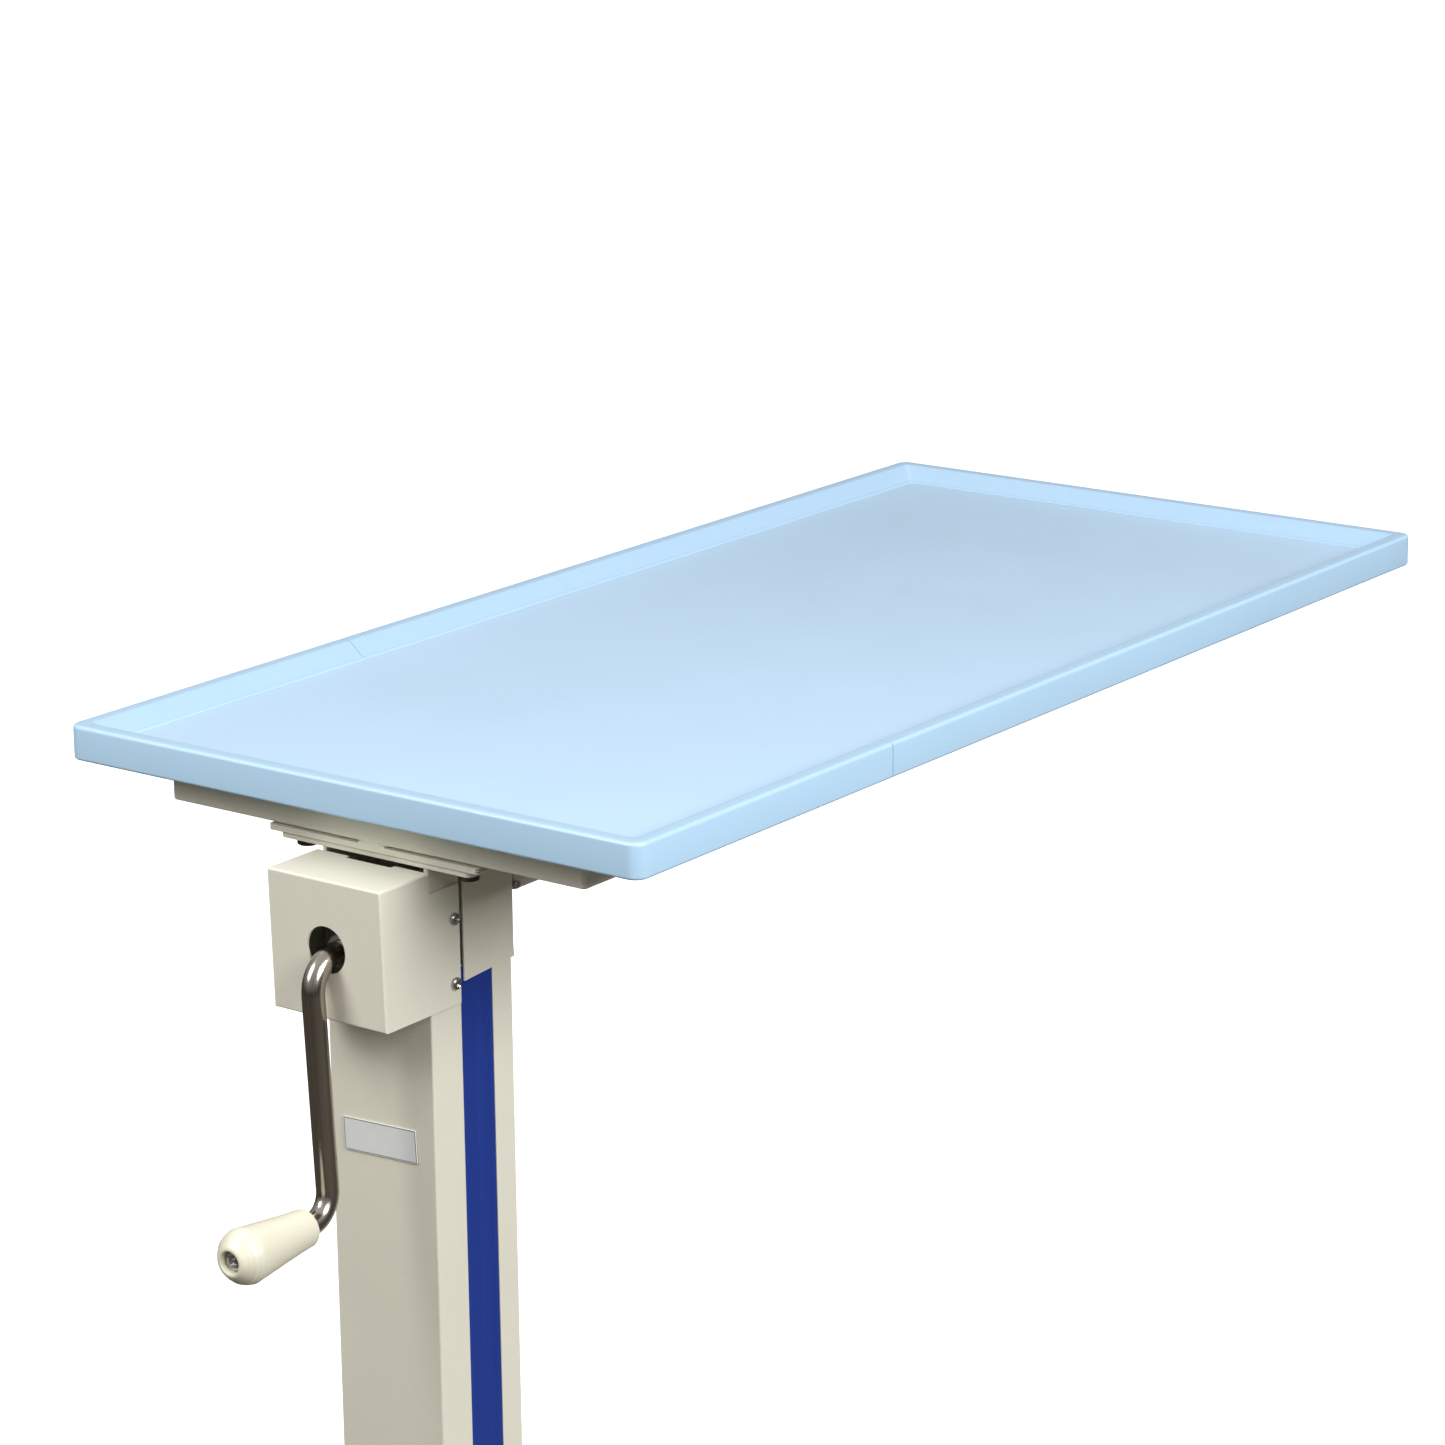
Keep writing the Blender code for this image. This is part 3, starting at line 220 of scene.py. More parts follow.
ORDER = {"X": (0, 1, 2), "Y": (1, 2, 0), "Z": (2, 0, 1)}


def spot(axis, along, u, v):
    point = [0.0, 0.0, 0.0]
    for index, value in zip(ORDER[axis], (along, u, v)):
        point[index] = value
    return point


def middle_of(axis, low, high):
    """The middle of a box as (u, v), for a piece that runs along the axis."""
    return tuple((low[index] + high[index]) / 2 for index in ORDER[axis][1:])


def loft(rings, closed=False, grain=None, edges=None):
    """A skin through rings of equal point counts. Grain and edge values are stored per point."""
    shape = bmesh.new()
    edge_layer = shape.verts.layers.float.new("edge")
    grain_layer = shape.verts.layers.float_vector.new("grain")
    loops = []
    for i, ring in enumerate(rings):
        loop = []
        for j, point in enumerate(ring):
            vertex = shape.verts.new(point)
            vertex[grain_layer] = grain[i][j] if grain else point
            if edges:
                vertex[edge_layer] = edges[i][j]
            loop.append(vertex)
        loops.append(loop)
    pairs = list(zip(loops, loops[1:]))
    if closed:
        pairs.append((loops[-1], loops[0]))
    for first, second in pairs:
        count = len(first)
        for i in range(count):
            j = (i + 1) % count
            shape.faces.new((first[i], first[j], second[j], second[i]))
    if not closed:
        shape.faces.new(loops[0])
        shape.faces.new(loops[-1])
    bmesh.ops.recalc_face_normals(shape, faces=shape.faces)
    return shape


def prism(axis, outline, low, high):
    return loft([[spot(axis, along, u, v) for u, v in outline] for along in (low, high)])


def block(low, high):
    outline = [(low[0], low[1]), (high[0], low[1]), (high[0], high[1]), (low[0], high[1])]
    return prism("Z", outline, low[2], high[2])


def circle(radius, count, centre=(0.0, 0.0), start=0.0):
    angles = [start + 2 * math.pi * i / count for i in range(count)]
    return [(centre[0] + radius * math.cos(a), centre[1] + radius * math.sin(a)) for a in angles]


def oblong(width, depth, radius, centre=(0.0, 0.0), steps=8):
    """A rectangle with rounded corners."""
    outline = []
    for quarter, (sx, sy) in enumerate(((1, 1), (-1, 1), (-1, -1), (1, -1))):
        x = centre[0] + sx * (width / 2 - radius)
        y = centre[1] + sy * (depth / 2 - radius)
        for step in range(steps + 1):
            angle = math.pi / 2 * (quarter + step / steps)
            outline.append((x + radius * math.cos(angle), y + radius * math.sin(angle)))
    return outline


def filleted(points, steps=6):
    """A closed outline from corners given as (u, v, radius)."""
    outline = []
    count = len(points)
    for i, (u, v, radius) in enumerate(points):
        corner = Vector((u, v))
        before = (Vector(points[i - 1][:2]) - corner).normalized()
        after = (Vector(points[(i + 1) % count][:2]) - corner).normalized()
        if radius <= 0.0:
            outline.append((u, v))
            continue
        half = before.angle(after) / 2
        reach = radius / math.tan(half)
        middle = corner + (before + after).normalized() * radius / math.sin(half)
        start = corner + before * reach - middle
        turn = start.angle_signed(corner + after * reach - middle)
        for step in range(steps + 1):
            arm = start.copy()
            arm.rotate(Matrix.Rotation(-turn * step / steps, 2))
            outline.append(tuple(middle + arm))
    return outline


LEAST_CORNER = 0.3 * MM


def soft_slab(low, high, corner, under=0.0, over=0.0, steps=4):
    """A slab with rounded corners. Under and over round its lower and upper edges."""
    turns = [math.pi / 2 * step / steps for step in range(steps + 1)]
    levels = [(low[2], 0.0)]
    if under:
        levels = [(low[2] + under * (1 - math.cos(a)), under * (1 - math.sin(a))) for a in turns]
    if over:
        levels += [(high[2] - over * (1 - math.sin(a)), over * (1 - math.cos(a))) for a in turns]
    else:
        levels.append((high[2], 0.0))
    centre = ((low[0] + high[0]) / 2, (low[1] + high[1]) / 2)
    rings = []
    for z, inset in levels:
        outline = oblong(high[0] - low[0] - 2 * inset, high[1] - low[1] - 2 * inset,
                         max(corner - inset, LEAST_CORNER), centre)
        rings.append([(x, y, z) for x, y in outline])
    return loft(rings)


def turned(axis, profile, count, centre=(0.0, 0.0), bored=False, edges=None):
    """A turned piece from (along, radius) pairs."""
    rings = []
    grain = []
    masks = []
    travelled = 0.0
    for i, (along, radius) in enumerate(profile):
        if i:
            travelled += math.dist(profile[i - 1], profile[i])
        rings.append([spot(axis, along, u, v) for u, v in circle(radius, count, centre)])
        grain.append([(u, v, travelled) for u, v in circle(radius, count)])
        masks.append([edges[i] if edges else 0.0] * count)
    return loft(rings, bored, grain, masks)


GRAIN_RADIUS = 6 * MM


def swept(path, radii, count):
    """A round bar along 3-D points, with one radius or a radius for each point."""
    points = [Vector(point) for point in path]
    side = Vector((0.0, 1.0, 0.0))
    rings = []
    grain = []
    travelled = 0.0
    for i, point in enumerate(points):
        ahead = (points[min(i + 1, len(points) - 1)] - points[max(i - 1, 0)]).normalized()
        side = (side - ahead * side.dot(ahead)).normalized()
        other = ahead.cross(side)
        if i:
            travelled += (point - points[i - 1]).length
        radius = radii[i] if isinstance(radii, list) else radii
        ring = []
        marks = []
        for u, v in circle(1.0, count):
            ring.append(point + side * radius * u + other * radius * v)
            marks.append((u * GRAIN_RADIUS, v * GRAIN_RADIUS, travelled))
        rings.append(ring)
        grain.append(marks)
    return loft(rings, False, grain)


def mesh_of(shape, name):
    mesh = bpy.data.meshes.new(name)
    shape.to_mesh(mesh)
    shape.free()
    return mesh


def combine(body, tools, operation="DIFFERENCE"):
    holder = bpy.data.objects.new("working_body", mesh_of(body, "working_body"))
    bpy.context.scene.collection.objects.link(holder)
    helpers = []
    for tool in tools:
        helper = bpy.data.objects.new("working_tool", mesh_of(tool, "working_tool"))
        bpy.context.scene.collection.objects.link(helper)
        helpers.append(helper)
        modifier = holder.modifiers.new("combine", "BOOLEAN")
        modifier.operation = operation
        modifier.solver = "EXACT"
        modifier.object = helper
    bpy.context.view_layer.update()
    result = bmesh.new()
    result.from_object(holder, bpy.context.evaluated_depsgraph_get())
    for item in [holder] + helpers:
        mesh = item.data
        bpy.data.objects.remove(item)
        bpy.data.meshes.remove(mesh)
    return result


def soften(shape, width, segments=3, angle=30.0, chosen=None):
    """Round the sharp edges. The new strips carry the edge value that the paint's wear uses."""
    layer = shape.verts.layers.float.get("edge") or shape.verts.layers.float.new("edge")
    bmesh.ops.remove_doubles(shape, verts=shape.verts, dist=2e-6)
    bmesh.ops.dissolve_limit(shape, angle_limit=math.radians(0.8), verts=shape.verts, edges=shape.edges)
    picked = []
    for edge in shape.edges:
        if edge.is_manifold and edge.calc_face_angle(0.0) > math.radians(angle):
            if chosen is None or chosen(edge):
                picked.append(edge)
    result = bmesh.ops.bevel(shape, geom=picked, offset=width, offset_type="OFFSET", segments=segments,
                             profile=0.5, affect="EDGES", clamp_overlap=True)
    strips = set(result["faces"])
    for vertex in result["verts"]:
        if vertex.is_valid and all(face in strips for face in vertex.link_faces):
            vertex[layer] = 1.0
    return shape


def finish_piece(name, shape, slot, body, stands_for=(), angle=40.0):
    """A named piece with its material, smooth shading and the CAD body it rides on."""
    item = bpy.data.objects.new(name, mesh_of(shape, name))
    bpy.context.scene.collection.objects.link(item)
    item.data.materials.append(LOOKS[slot])
    item.data.shade_smooth()
    item.data.set_sharp_from_angle(angle=math.radians(angle))
    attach(item, body)
    if stands_for:
        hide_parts(*stands_for)
    return item


def weighted(item):
    modifier = item.modifiers.new("even_shading", "WEIGHTED_NORMAL")
    modifier.keep_sharp = True


def stand_in(node, shape, angle=40.0):
    """The finished piece that stands for a CAD node, with the node's own slot and body."""
    return finish_piece(node + "_finish", shape, SLOTS[node], NODES[node]["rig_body"], [node], angle)


def refined(node, width, segments=3, angle=30.0):
    """A copy of a CAD node with its edges rounded."""
    shape = bmesh.new()
    shape.from_mesh(NODES[node].data)
    soften(shape, width, segments, angle)
    weighted(stand_in(node, shape))


# ---- Tray ------------------------------------------------------------------

tray_low, tray_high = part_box("rim_short")
tray_high = Vector(map(max, tray_high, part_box("rim_long")[1]))
panel_low, panel_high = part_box("tray_panel")
TRAY_MIDDLE = (tray_low + tray_high) / 2
FLOOR_LEVEL = panel_high.z
SEAM_X = (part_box("rim_short")[1].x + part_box("rim_long")[0].x) / 2
RIM_FOOT = panel_low.x - tray_low.x
FEATHER = 2.6 * MM                # run of the rim's foot on to the floor
FOOT_RISE = 0.12 * MM
FOOT_EDGE = 0.04 * MM
FOOT_GAP = 0.3 * MM
RIM_LIP = 9.1 * MM                # width of the rim's top
RIM_CORNER = 8.0 * MM
RIM_INNER_CORNER = 2.6 * MM
HALF_SEAM = 0.22 * MM
SIDE_STEPS, END_STEPS, CORNER_STEPS = 24, 8, 8
PAINT_WAVE = 0.06 * MM


def rim_outline():
    """The rim's section as (inset, height, painted shade), with a foot that feathers on to the floor."""
    height = tray_high.z - tray_low.z
    floor = FLOOR_LEVEL - tray_low.z
    foot_end = RIM_FOOT + FEATHER + 2 * MM
    corners = [(RIM_FOOT - FOOT_GAP, 0.0, 0.0), (0.0, 0.0, 1.8 * MM), (0.0, height, 2.2 * MM),
               (RIM_LIP, height, 3.0 * MM), (RIM_FOOT, floor + FOOT_RISE, 5.5 * MM),
               (foot_end, floor + FOOT_RISE, 0.0), (foot_end, floor + FOOT_EDGE, 0.0),
               (RIM_FOOT - FOOT_GAP, floor + FOOT_EDGE, 0.0)]
    outline = []
    for inset, level in filleted(corners, 8):
        # painted shade: full on the rim's top and inner slope, none on its outer face and foot
        painted_top_shade = min(1.0, max(0.0, (inset - 0.3 * MM) / (1.4 * MM)))
        outline.append((inset, level, painted_top_shade if level > floor + 0.2 * MM else 0.0))
    return outline


def rim_plan(inset, end_x, direction):
    """Half of the rim's plan at one inset, from seam to seam, with points along the straight runs."""
    radius = max(RIM_CORNER - inset, RIM_INNER_CORNER)
    half = (tray_high.y - tray_low.y) / 2 - inset
    seam = SEAM_X + direction * HALF_SEAM
    run = abs(end_x - seam) - inset - radius
    straight = [seam + direction * run * i / SIDE_STEPS for i in range(SIDE_STEPS)]
    plan = [(x, -direction * half) for x in straight]
    for turn in range(2):
        side = direction * (2 * turn - 1)
        for step in range(CORNER_STEPS + 1):
            angle = math.pi / 2 * step / CORNER_STEPS
            if turn:
                angle = math.pi / 2 - angle
            x = end_x - direction * (inset + radius * (1 - math.sin(angle)))
            y = side * (half - radius * (1 - math.cos(angle)))
            plan.append((x, y))
        if not turn:
            for i in range(1, 2 * END_STEPS):
                plan.append((end_x - direction * inset, side * (half - radius) * (1 - i / END_STEPS)))
    plan += [(x, direction * half) for x in reversed(straight)]
    return plan


def rim(node, end_x, direction):
    """One U-shaped moulding. Its top waves a little, as paint does."""
    columns = []
    masks = []
    # the third value is the painted shade, kept in the edge attribute that rim_blue darkens by
    for inset, height, edge in rim_outline():
        column = []
        for x, y in rim_plan(inset, end_x, direction):
            wave = PAINT_WAVE * noise.noise(Vector((x * 14, y * 14, height * 30)))
            column.append((x, y, tray_low.z + height + (wave if height > 5 * MM else 0.0)))
        columns.append(column)
        masks.append([edge] * len(column))
    shape = loft(list(zip(*columns)), edges=list(zip(*masks)))
    stand_in(node, shape, 50.0)


def tray_floor():
    shape = soft_slab(panel_low, panel_high, 2 * MM, 0.6 * MM, 0.2 * MM)
    finish_piece("tray_floor", shape, "tray_blue", "column", ["tray_panel"])


# ---- Frame, plate and flange -----------------------------------------------

CUT_LOW, CUT_HIGH = 0.6, 0.9      # heights well clear of the upper pieces, for cuts right through
CLEAR = 0.01                      # how far a cut runs past the piece
FRAME_SHEET = 1.5 * MM
FRAME_BAR = 25 * MM
CROSS_BARS = (125 * MM, 330 * MM)  # their starts, from the frame's near end
WELD_HALF = 10.8 * MM
HOLE_RADIUS = 3.3 * MM
GROOVE_DEPTH = 1.6 * MM
GROOVE_HALF = 0.25 * MM
REBATE_RUN = 6 * MM
BOLT_ACROSS = 11 * MM
BOLT_SHANK = 3 * MM
GUSSET_BOLT_ACROSS = 4.4 * MM
GUSSET_BOLT_HEAD = 2.3 * MM
GUSSET_BOLT_DROP = 56.1 * MM      # below the rim's lower edge
GUSSET_BOLT_ALONG = 99.4 * MM     # from the tray's near end


def support_frame():
    """A channel frame, open at the top, with windows between its bars."""
    low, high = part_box("support_frame")
    half = high.y
    starts = [low.x + FRAME_BAR] + [low.x + bar + FRAME_BAR for bar in CROSS_BARS]
    ends = [low.x + bar for bar in CROSS_BARS] + [high.x - FRAME_BAR]
    body = soft_slab(low, high, 3 * MM, 1.4 * MM, 0.0, 5)
    sheet = FRAME_SHEET
    trench = soft_slab((low.x + sheet, -half + sheet, low.z + sheet),
                       (high.x - sheet, half - sheet, CUT_HIGH), 2 * MM, 0.6 * MM, 0.0, 3)
    inside = half - FRAME_BAR
    walls = []
    windows = []
    for start, end in zip(starts, ends):
        walls.append(block((start - sheet, -inside - sheet, CUT_LOW),
                           (end + sheet, inside + sheet, CUT_HIGH + 5 * CLEAR)))
        windows.append(block((start, -inside, CUT_LOW), (end, inside, CUT_HIGH + 6 * CLEAR)))
    shape = combine(body, [combine(trench, walls)] + windows)
    soften(shape, 0.45 * MM, 2, 50.0)
    weighted(stand_in("support_frame", shape))


def bolt_places():
    return [middle_of("Z", *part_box(f"flange_bolt_{number}")) for number in range(1, 5)]


def plate_with_holes(node, corner, rounding, grooves=(), rebate=0.0):
    """A plate with its bolt holes. Grooves along its sides show the sheets it's made of, and a
    rebate along its near edge, on both sides of the weld, leaves a gap under the frame.
    """
    low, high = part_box(node)
    shape = soft_slab(low, high, corner, rounding, rounding, 3)
    tools = [prism("Z", circle(HOLE_RADIUS, 32, place), CUT_LOW, CUT_HIGH) for place in bolt_places()]
    for side in (1, -1):
        edge = side * high.y
        for z in grooves:
            tools.append(block((low.x - CLEAR, edge - GROOVE_DEPTH, low.z + z - GROOVE_HALF),
                               (high.x + CLEAR, edge + GROOVE_DEPTH, low.z + z + GROOVE_HALF)))
        if rebate:
            near, far = sorted((side * (WELD_HALF - 1.5 * MM), side * (high.y + CLEAR)))
            tools.append(block((low.x - CLEAR, near, high.z - rebate),
                               (low.x + REBATE_RUN, far, high.z + CLEAR)))
    weighted(stand_in(node, combine(shape, tools), 30.0))


def hex_head(centre, axis, base, height, across):
    """A hexagonal head with a chamfered, slightly domed face. A minus height makes it face down."""
    top = base + height
    hexagon = circle(across / math.sqrt(3), 6, centre, math.pi / 6)
    outer = prism(axis, hexagon, min(base, top), max(base, top))
    cone = turned(axis, [(base - height, across), (base, across * 0.62),
                         (top - height * 0.12, across * 0.545), (top, across * 0.46),
                         (top + height * 0.02, 0.02 * across)], 48, centre)
    return combine(outer, [cone], "INTERSECT")


def flange_bolts():
    for number, place in enumerate(bolt_places(), start=1):
        node = f"flange_bolt_{number}"
        low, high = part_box(node)
        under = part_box("column_flange")[0].z - 0.1 * MM
        head = hex_head(place, "Z", under, low.z - under - 0.7 * MM, BOLT_ACROSS)
        shank = prism("Z", circle(BOLT_SHANK, 24, place), under - 1.5 * MM, high.z)
        shape = combine(head, [shank], "UNION")
        soften(shape, 0.12 * MM, 2, 25.0)
        stand_in(node, shape, 30.0)


def gusset():
    refined("rear_gusset", 0.8 * MM)
    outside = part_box("rear_gusset")[1].y
    centre = (tray_low.z - GUSSET_BOLT_DROP, tray_low.x + GUSSET_BOLT_ALONG)
    for name, side in (("gusset_bolt_left", 1), ("gusset_bolt_right", -1)):
        head = hex_head(centre, "Y", side * (outside - 0.1 * MM), side * GUSSET_BOLT_HEAD,
                        GUSSET_BOLT_ACROSS)
        soften(head, 0.1 * MM, 2, 25.0)
        finish_piece(name, head, "zinc", "column", angle=30.0)


RIPPLE = 2.4 * MM                 # length of one ripple of a weld


def weld(name, points, radius, closed=False):
    """A rippled bead of weld on the base, along points."""
    corners = [Vector(point) for point in points]
    if closed:
        corners.append(corners[0])
    dense = []
    for start, end in zip(corners, corners[1:]):
        steps = max(2, round((end - start).length / (RIPPLE / 4)))
        dense += [start.lerp(end, i / steps) for i in range(steps)]
    dense.append(corners[-1])
    radii = []
    for i, point in enumerate(dense):
        taper = 1.0
        if not closed:
            from_end = min(i, len(dense) - 1 - i)
            taper = min(1.0, 0.25 + 0.25 * from_end)
        ripple = 1.0 + 0.10 * math.cos(i * math.pi / 2) + 0.12 * noise.noise(point * 220)
        radii.append(radius * ripple * taper)
    finish_piece(name, swept(dense, radii, 12), "cream_paint", "base", angle=80.0)


def plate_weld():
    """The painted-over weld that fills the gap between frame and plate at the front."""
    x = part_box("support_frame")[0].x + 2.2 * MM
    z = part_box("mounting_plate")[1].z + 0.2 * MM
    wide, tall = 2.5 * MM, 2.4 * MM
    rings = []
    for i in range(33):
        y = WELD_HALF * (2 * i / 32 - 1)
        size = max(0.06, math.sin(math.pi * i / 32) ** 0.45)
        ring = []
        for u, v in circle(1.0, 20):
            lump = 1.0 + 0.05 * noise.noise(Vector((y * 350, u, v)))
            ring.append((x + u * wide * size * lump, y, z + v * tall * size * lump))
        rings.append(ring)
    finish_piece("plate_weld", loft(rings), "cream_paint", "column", angle=80.0)


# ---- Column, saddle, stripes and label -------------------------------------

GAP = 0.3 * MM                    # between neighbouring pieces
COLUMN_WALL = 2 * MM
COLUMN_CORNER = 1.3 * MM
COLUMN_INNER_CORNER = 0.8 * MM
WINDOW_END = 10 * MM              # how far below the column's top its side windows end
STRIPE_RIBS = 44
RIB_DEPTH = 0.07 * MM
LABEL_WIDTH = 52.2 * MM
LABEL_HEIGHT = 19.4 * MM
LABEL_CORNER = 1.0 * MM
LABEL_TILT = math.radians(2.5)
BORDER = (0.45 * MM, 0.90 * MM)   # the printed line's outer and inner inset
SADDLE_SHEET = 1.2 * MM
SADDLE_CORNER = 2.6 * MM
SADDLE_CLIMB = 2.6 * MM
SADDLE_FLARE = 0.5 * MM


def column():
    """The square tube, open at the front of its top and cut away behind the side strips."""
    low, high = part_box("lift_column")
    centre = ((low.x + high.x) / 2, 0.0)
    wall = COLUMN_WALL
    outer = oblong(high.x - low.x, high.y - low.y, COLUMN_CORNER, centre, 8)
    inner = oblong(high.x - low.x - 2 * wall, high.y - low.y - 2 * wall, COLUMN_INNER_CORNER, centre, 8)
    walls = [(outer, low.z), (outer, high.z), (inner, high.z), (inner, low.z)]
    body = loft([[(x, y, z) for x, y in outline] for outline, z in walls], True)
    bracket_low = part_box("gear_bracket")[0].z
    inside = high.y - wall - 1 * MM
    tools = [block((low.x - CLEAR, -inside, bracket_low - GAP), (low.x + CLEAR, inside, high.z + CLEAR))]
    stripe_low, stripe_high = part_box("side_stripe_left")
    start, end, top = stripe_low.x - GAP, stripe_high.x + GAP, stripe_high.z
    for side in (1, -1):
        near, far = sorted((side * (stripe_low.y - GAP), side * (high.y + CLEAR)))
        tools.append(block((start, near, low.z - CLEAR), (end, far, top + 2 * GAP)))
    tools.append(block((start, -1.5 * high.y, top + GAP), (end, 1.5 * high.y, high.z - WINDOW_END)))
    shape = combine(body, tools)
    soften(shape, 0.2 * MM, 2, 60.0)
    weighted(stand_in("lift_column", shape, 35.0))


def stripes():
    """Ribbed inserts in the column's side grooves."""
    for node, side in (("side_stripe_left", 1), ("side_stripe_right", -1)):
        low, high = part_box(node)
        back, face = (low.y, high.y) if side > 0 else (high.y, low.y)
        last = 2 * STRIPE_RIBS
        outline = [(high.x, back), (low.x, back)]
        for i in range(last + 1):
            x = low.x + (high.x - low.x) * i / last
            dip = RIB_DEPTH * (i % 2) * (0.4 + 0.6 * abs(noise.noise(Vector((x * 900, 0, side)))))
            if i in (0, last):
                dip = 0.25 * MM
            outline.append((x, face - side * dip))
        shape = prism("Z", outline, low.z, high.z)
        stand_in(node, shape, 60.0)


def label():
    """A blank label with a thin printed border."""
    low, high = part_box("label_plate")
    middle = middle_of("X", low, high)
    across, along = math.cos(LABEL_TILT), math.sin(LABEL_TILT)
    levels = [(0.0, high.x), (0.0, low.x + 0.25 * MM), (0.0, low.x + 0.10 * MM), (0.12 * MM, low.x),
              (BORDER[0], low.x), (BORDER[1], low.x), (6 * MM, low.x)]
    rings = []
    for inset, x in levels:
        corner = max(LABEL_CORNER - inset, 0.2 * MM)
        outline = oblong(LABEL_WIDTH - 2 * inset, LABEL_HEIGHT - 2 * inset, corner, steps=4)
        rings.append([(x, middle[0] + u * across + v * along, middle[1] + v * across - u * along)
                      for u, v in outline])
    item = stand_in("label_plate", loft(rings), 30.0)
    item.data.materials.append(LABEL_LINE)
    for face in item.data.polygons:
        x, y, z = face.center
        y -= middle[0]
        z -= middle[1]
        inset = min(LABEL_WIDTH / 2 - abs(y * across - z * along),
                    LABEL_HEIGHT / 2 - abs(z * across + y * along))
        if BORDER[0] < inset < BORDER[1] and abs(x - low.x) < 0.02 * MM:
            face.material_index = 1


def saddle():
    """The sheet round the column's back. Its lower edge rises a little towards the rear."""
    low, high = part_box("rear_saddle")
    half = high.y
    inner = half - SADDLE_SHEET
    rear = high.x - SADDLE_SHEET
    corner = SADDLE_CORNER
    bend = corner - SADDLE_SHEET
    outline = filleted([(low.x, -half, 0.0), (high.x, -half, corner), (high.x, half, corner),
                        (low.x, half, 0.0)], 6)
    outline += filleted([(low.x, inner, 0.0), (rear, inner, bend), (rear, -inner, bend),
                         (low.x, -inner, 0.0)], 6)
    rings = []
    for level in (0.0, 0.02, 0.1, 0.5, 1.0):
        ring = []
        for x, y in outline:
            z = low.z + (high.z - low.z) * level
            rise = (x - low.x) / (high.x - low.x) * SADDLE_CLIMB * (1 - level)
            flare = 0.0
            if x > low.x + 10 * MM:
                flare = SADDLE_FLARE * max(0.0, 1 - level / 0.1)
            ring.append((x + flare, y, z + rise))
        rings.append(ring)
    shape = loft(rings)
    soften(shape, 0.2 * MM, 2, 60.0)
    weighted(stand_in("rear_saddle", shape, 35.0))


# ---- Crank cover and screws ------------------------------------------------

SHEET = 1.5 * MM
COVER_LEAN = 2.2 * MM             # of the front, out at its top
COVER_FOLD = 1.45 * MM
EAR_DROP = 42.0 * MM              # from the rim's lower edge to the top of the side ears
NOTCH_ALONG = 24.6 * MM           # from the tray's near end to the notch over each ear
TOP_CUT_DEPTH = 4.9 * MM
TOP_CUT_HALF = 16 * MM
HOLE_DROP = 70.0 * MM
COVER_HOLE_RADIUS = 13.4 * MM
SCREW_HOLE = 2.2 * MM
SCREW_HEAD = 3.6 * MM
SCREW_HEIGHT = 2.2 * MM
SCREW_SHANK = 1.8 * MM
BELOW, ABOVE = 0.5, 0.9           # heights well clear of the cover, for cuts right through


def crank_cover():
    """The folded box over the gears, with an ear on each side of the column."""
    low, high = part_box("crank_cover")
    half = high.y
    inner = half - SHEET
    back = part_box("lift_column")[0].x - 0.5 * MM
    lean = COVER_LEAN
    body = prism("Y", [(low.z, low.x + lean), (low.z, high.x), (high.z, high.x), (high.z, low.x)],
                 -half, half)

    def folded(edge):
        """Whether an edge is a fold: along the top, or up the front. The lower edges stay sharp."""
        ends = [vertex.co for vertex in edge.verts]
        front = all(end.x < low.x + lean + 0.1 * MM for end in ends)
        side = all(abs(abs(end.y) - half) < 1e-6 for end in ends)
        top = all(end.z > high.z - 1e-6 for end in ends)
        return front + side + top > 1

    soften(body, COVER_FOLD, 5, 30.0, folded)
    floor, roof, wall = low.z + SHEET, high.z - SHEET, back + 1 * MM
    cavity = prism("Y", [(floor, low.x + lean + SHEET), (floor, wall), (roof, wall), (roof, low.x + SHEET)],
                   -inner, inner)
    soften(cavity, 0.5 * MM, 2)
    hole = circle(COVER_HOLE_RADIUS, 72, (0.0, tray_low.z - HOLE_DROP))
    tools = [cavity,
             block((back, -inner, BELOW), (0.0, inner, ABOVE)),
             block((tray_low.x + NOTCH_ALONG, -2 * half, tray_low.z - EAR_DROP), (0.0, 2 * half, ABOVE)),
             block((back - TOP_CUT_DEPTH, -TOP_CUT_HALF, high.z - 5 * MM), (0.0, TOP_CUT_HALF, ABOVE)),
             prism("X", hole, low.x - CLEAR, low.x + CLEAR)]
    for number in (1, 2):
        centre = middle_of("Y", *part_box(f"cover_screw_{number}"))
        tools.append(prism("Y", circle(SCREW_HOLE, 24, centre), -2 * half, 2 * half))
    shape = combine(body, tools)
    soften(shape, 0.18 * MM, 2, 55.0)
    weighted(stand_in("crank_cover", shape, 35.0))


def cross_cut(axis, centre, face, depth, reach, width, turn):
    """The two arms of a Phillips recess, tapered towards the bottom."""
    arms = []
    for quarter in range(2):
        angle = turn + quarter * math.pi / 2
        rings = []
        for level, share in ((face + depth * -0.3, 1.15), (face, 1.05), (face + depth, 0.45)):
            ring = []
            for u, v in ((reach * share, width / 2), (-reach * share, width / 2),
                         (-reach * share, -width / 2), (reach * share, -width / 2)):
                du = u * math.cos(angle) - v * math.sin(angle)
                dv = u * math.sin(angle) + v * math.cos(angle)
                ring.append(spot(axis, level, centre[0] + du, centre[1] + dv))
            rings.append(ring)
        arms.append(loft(rings))
    return arms


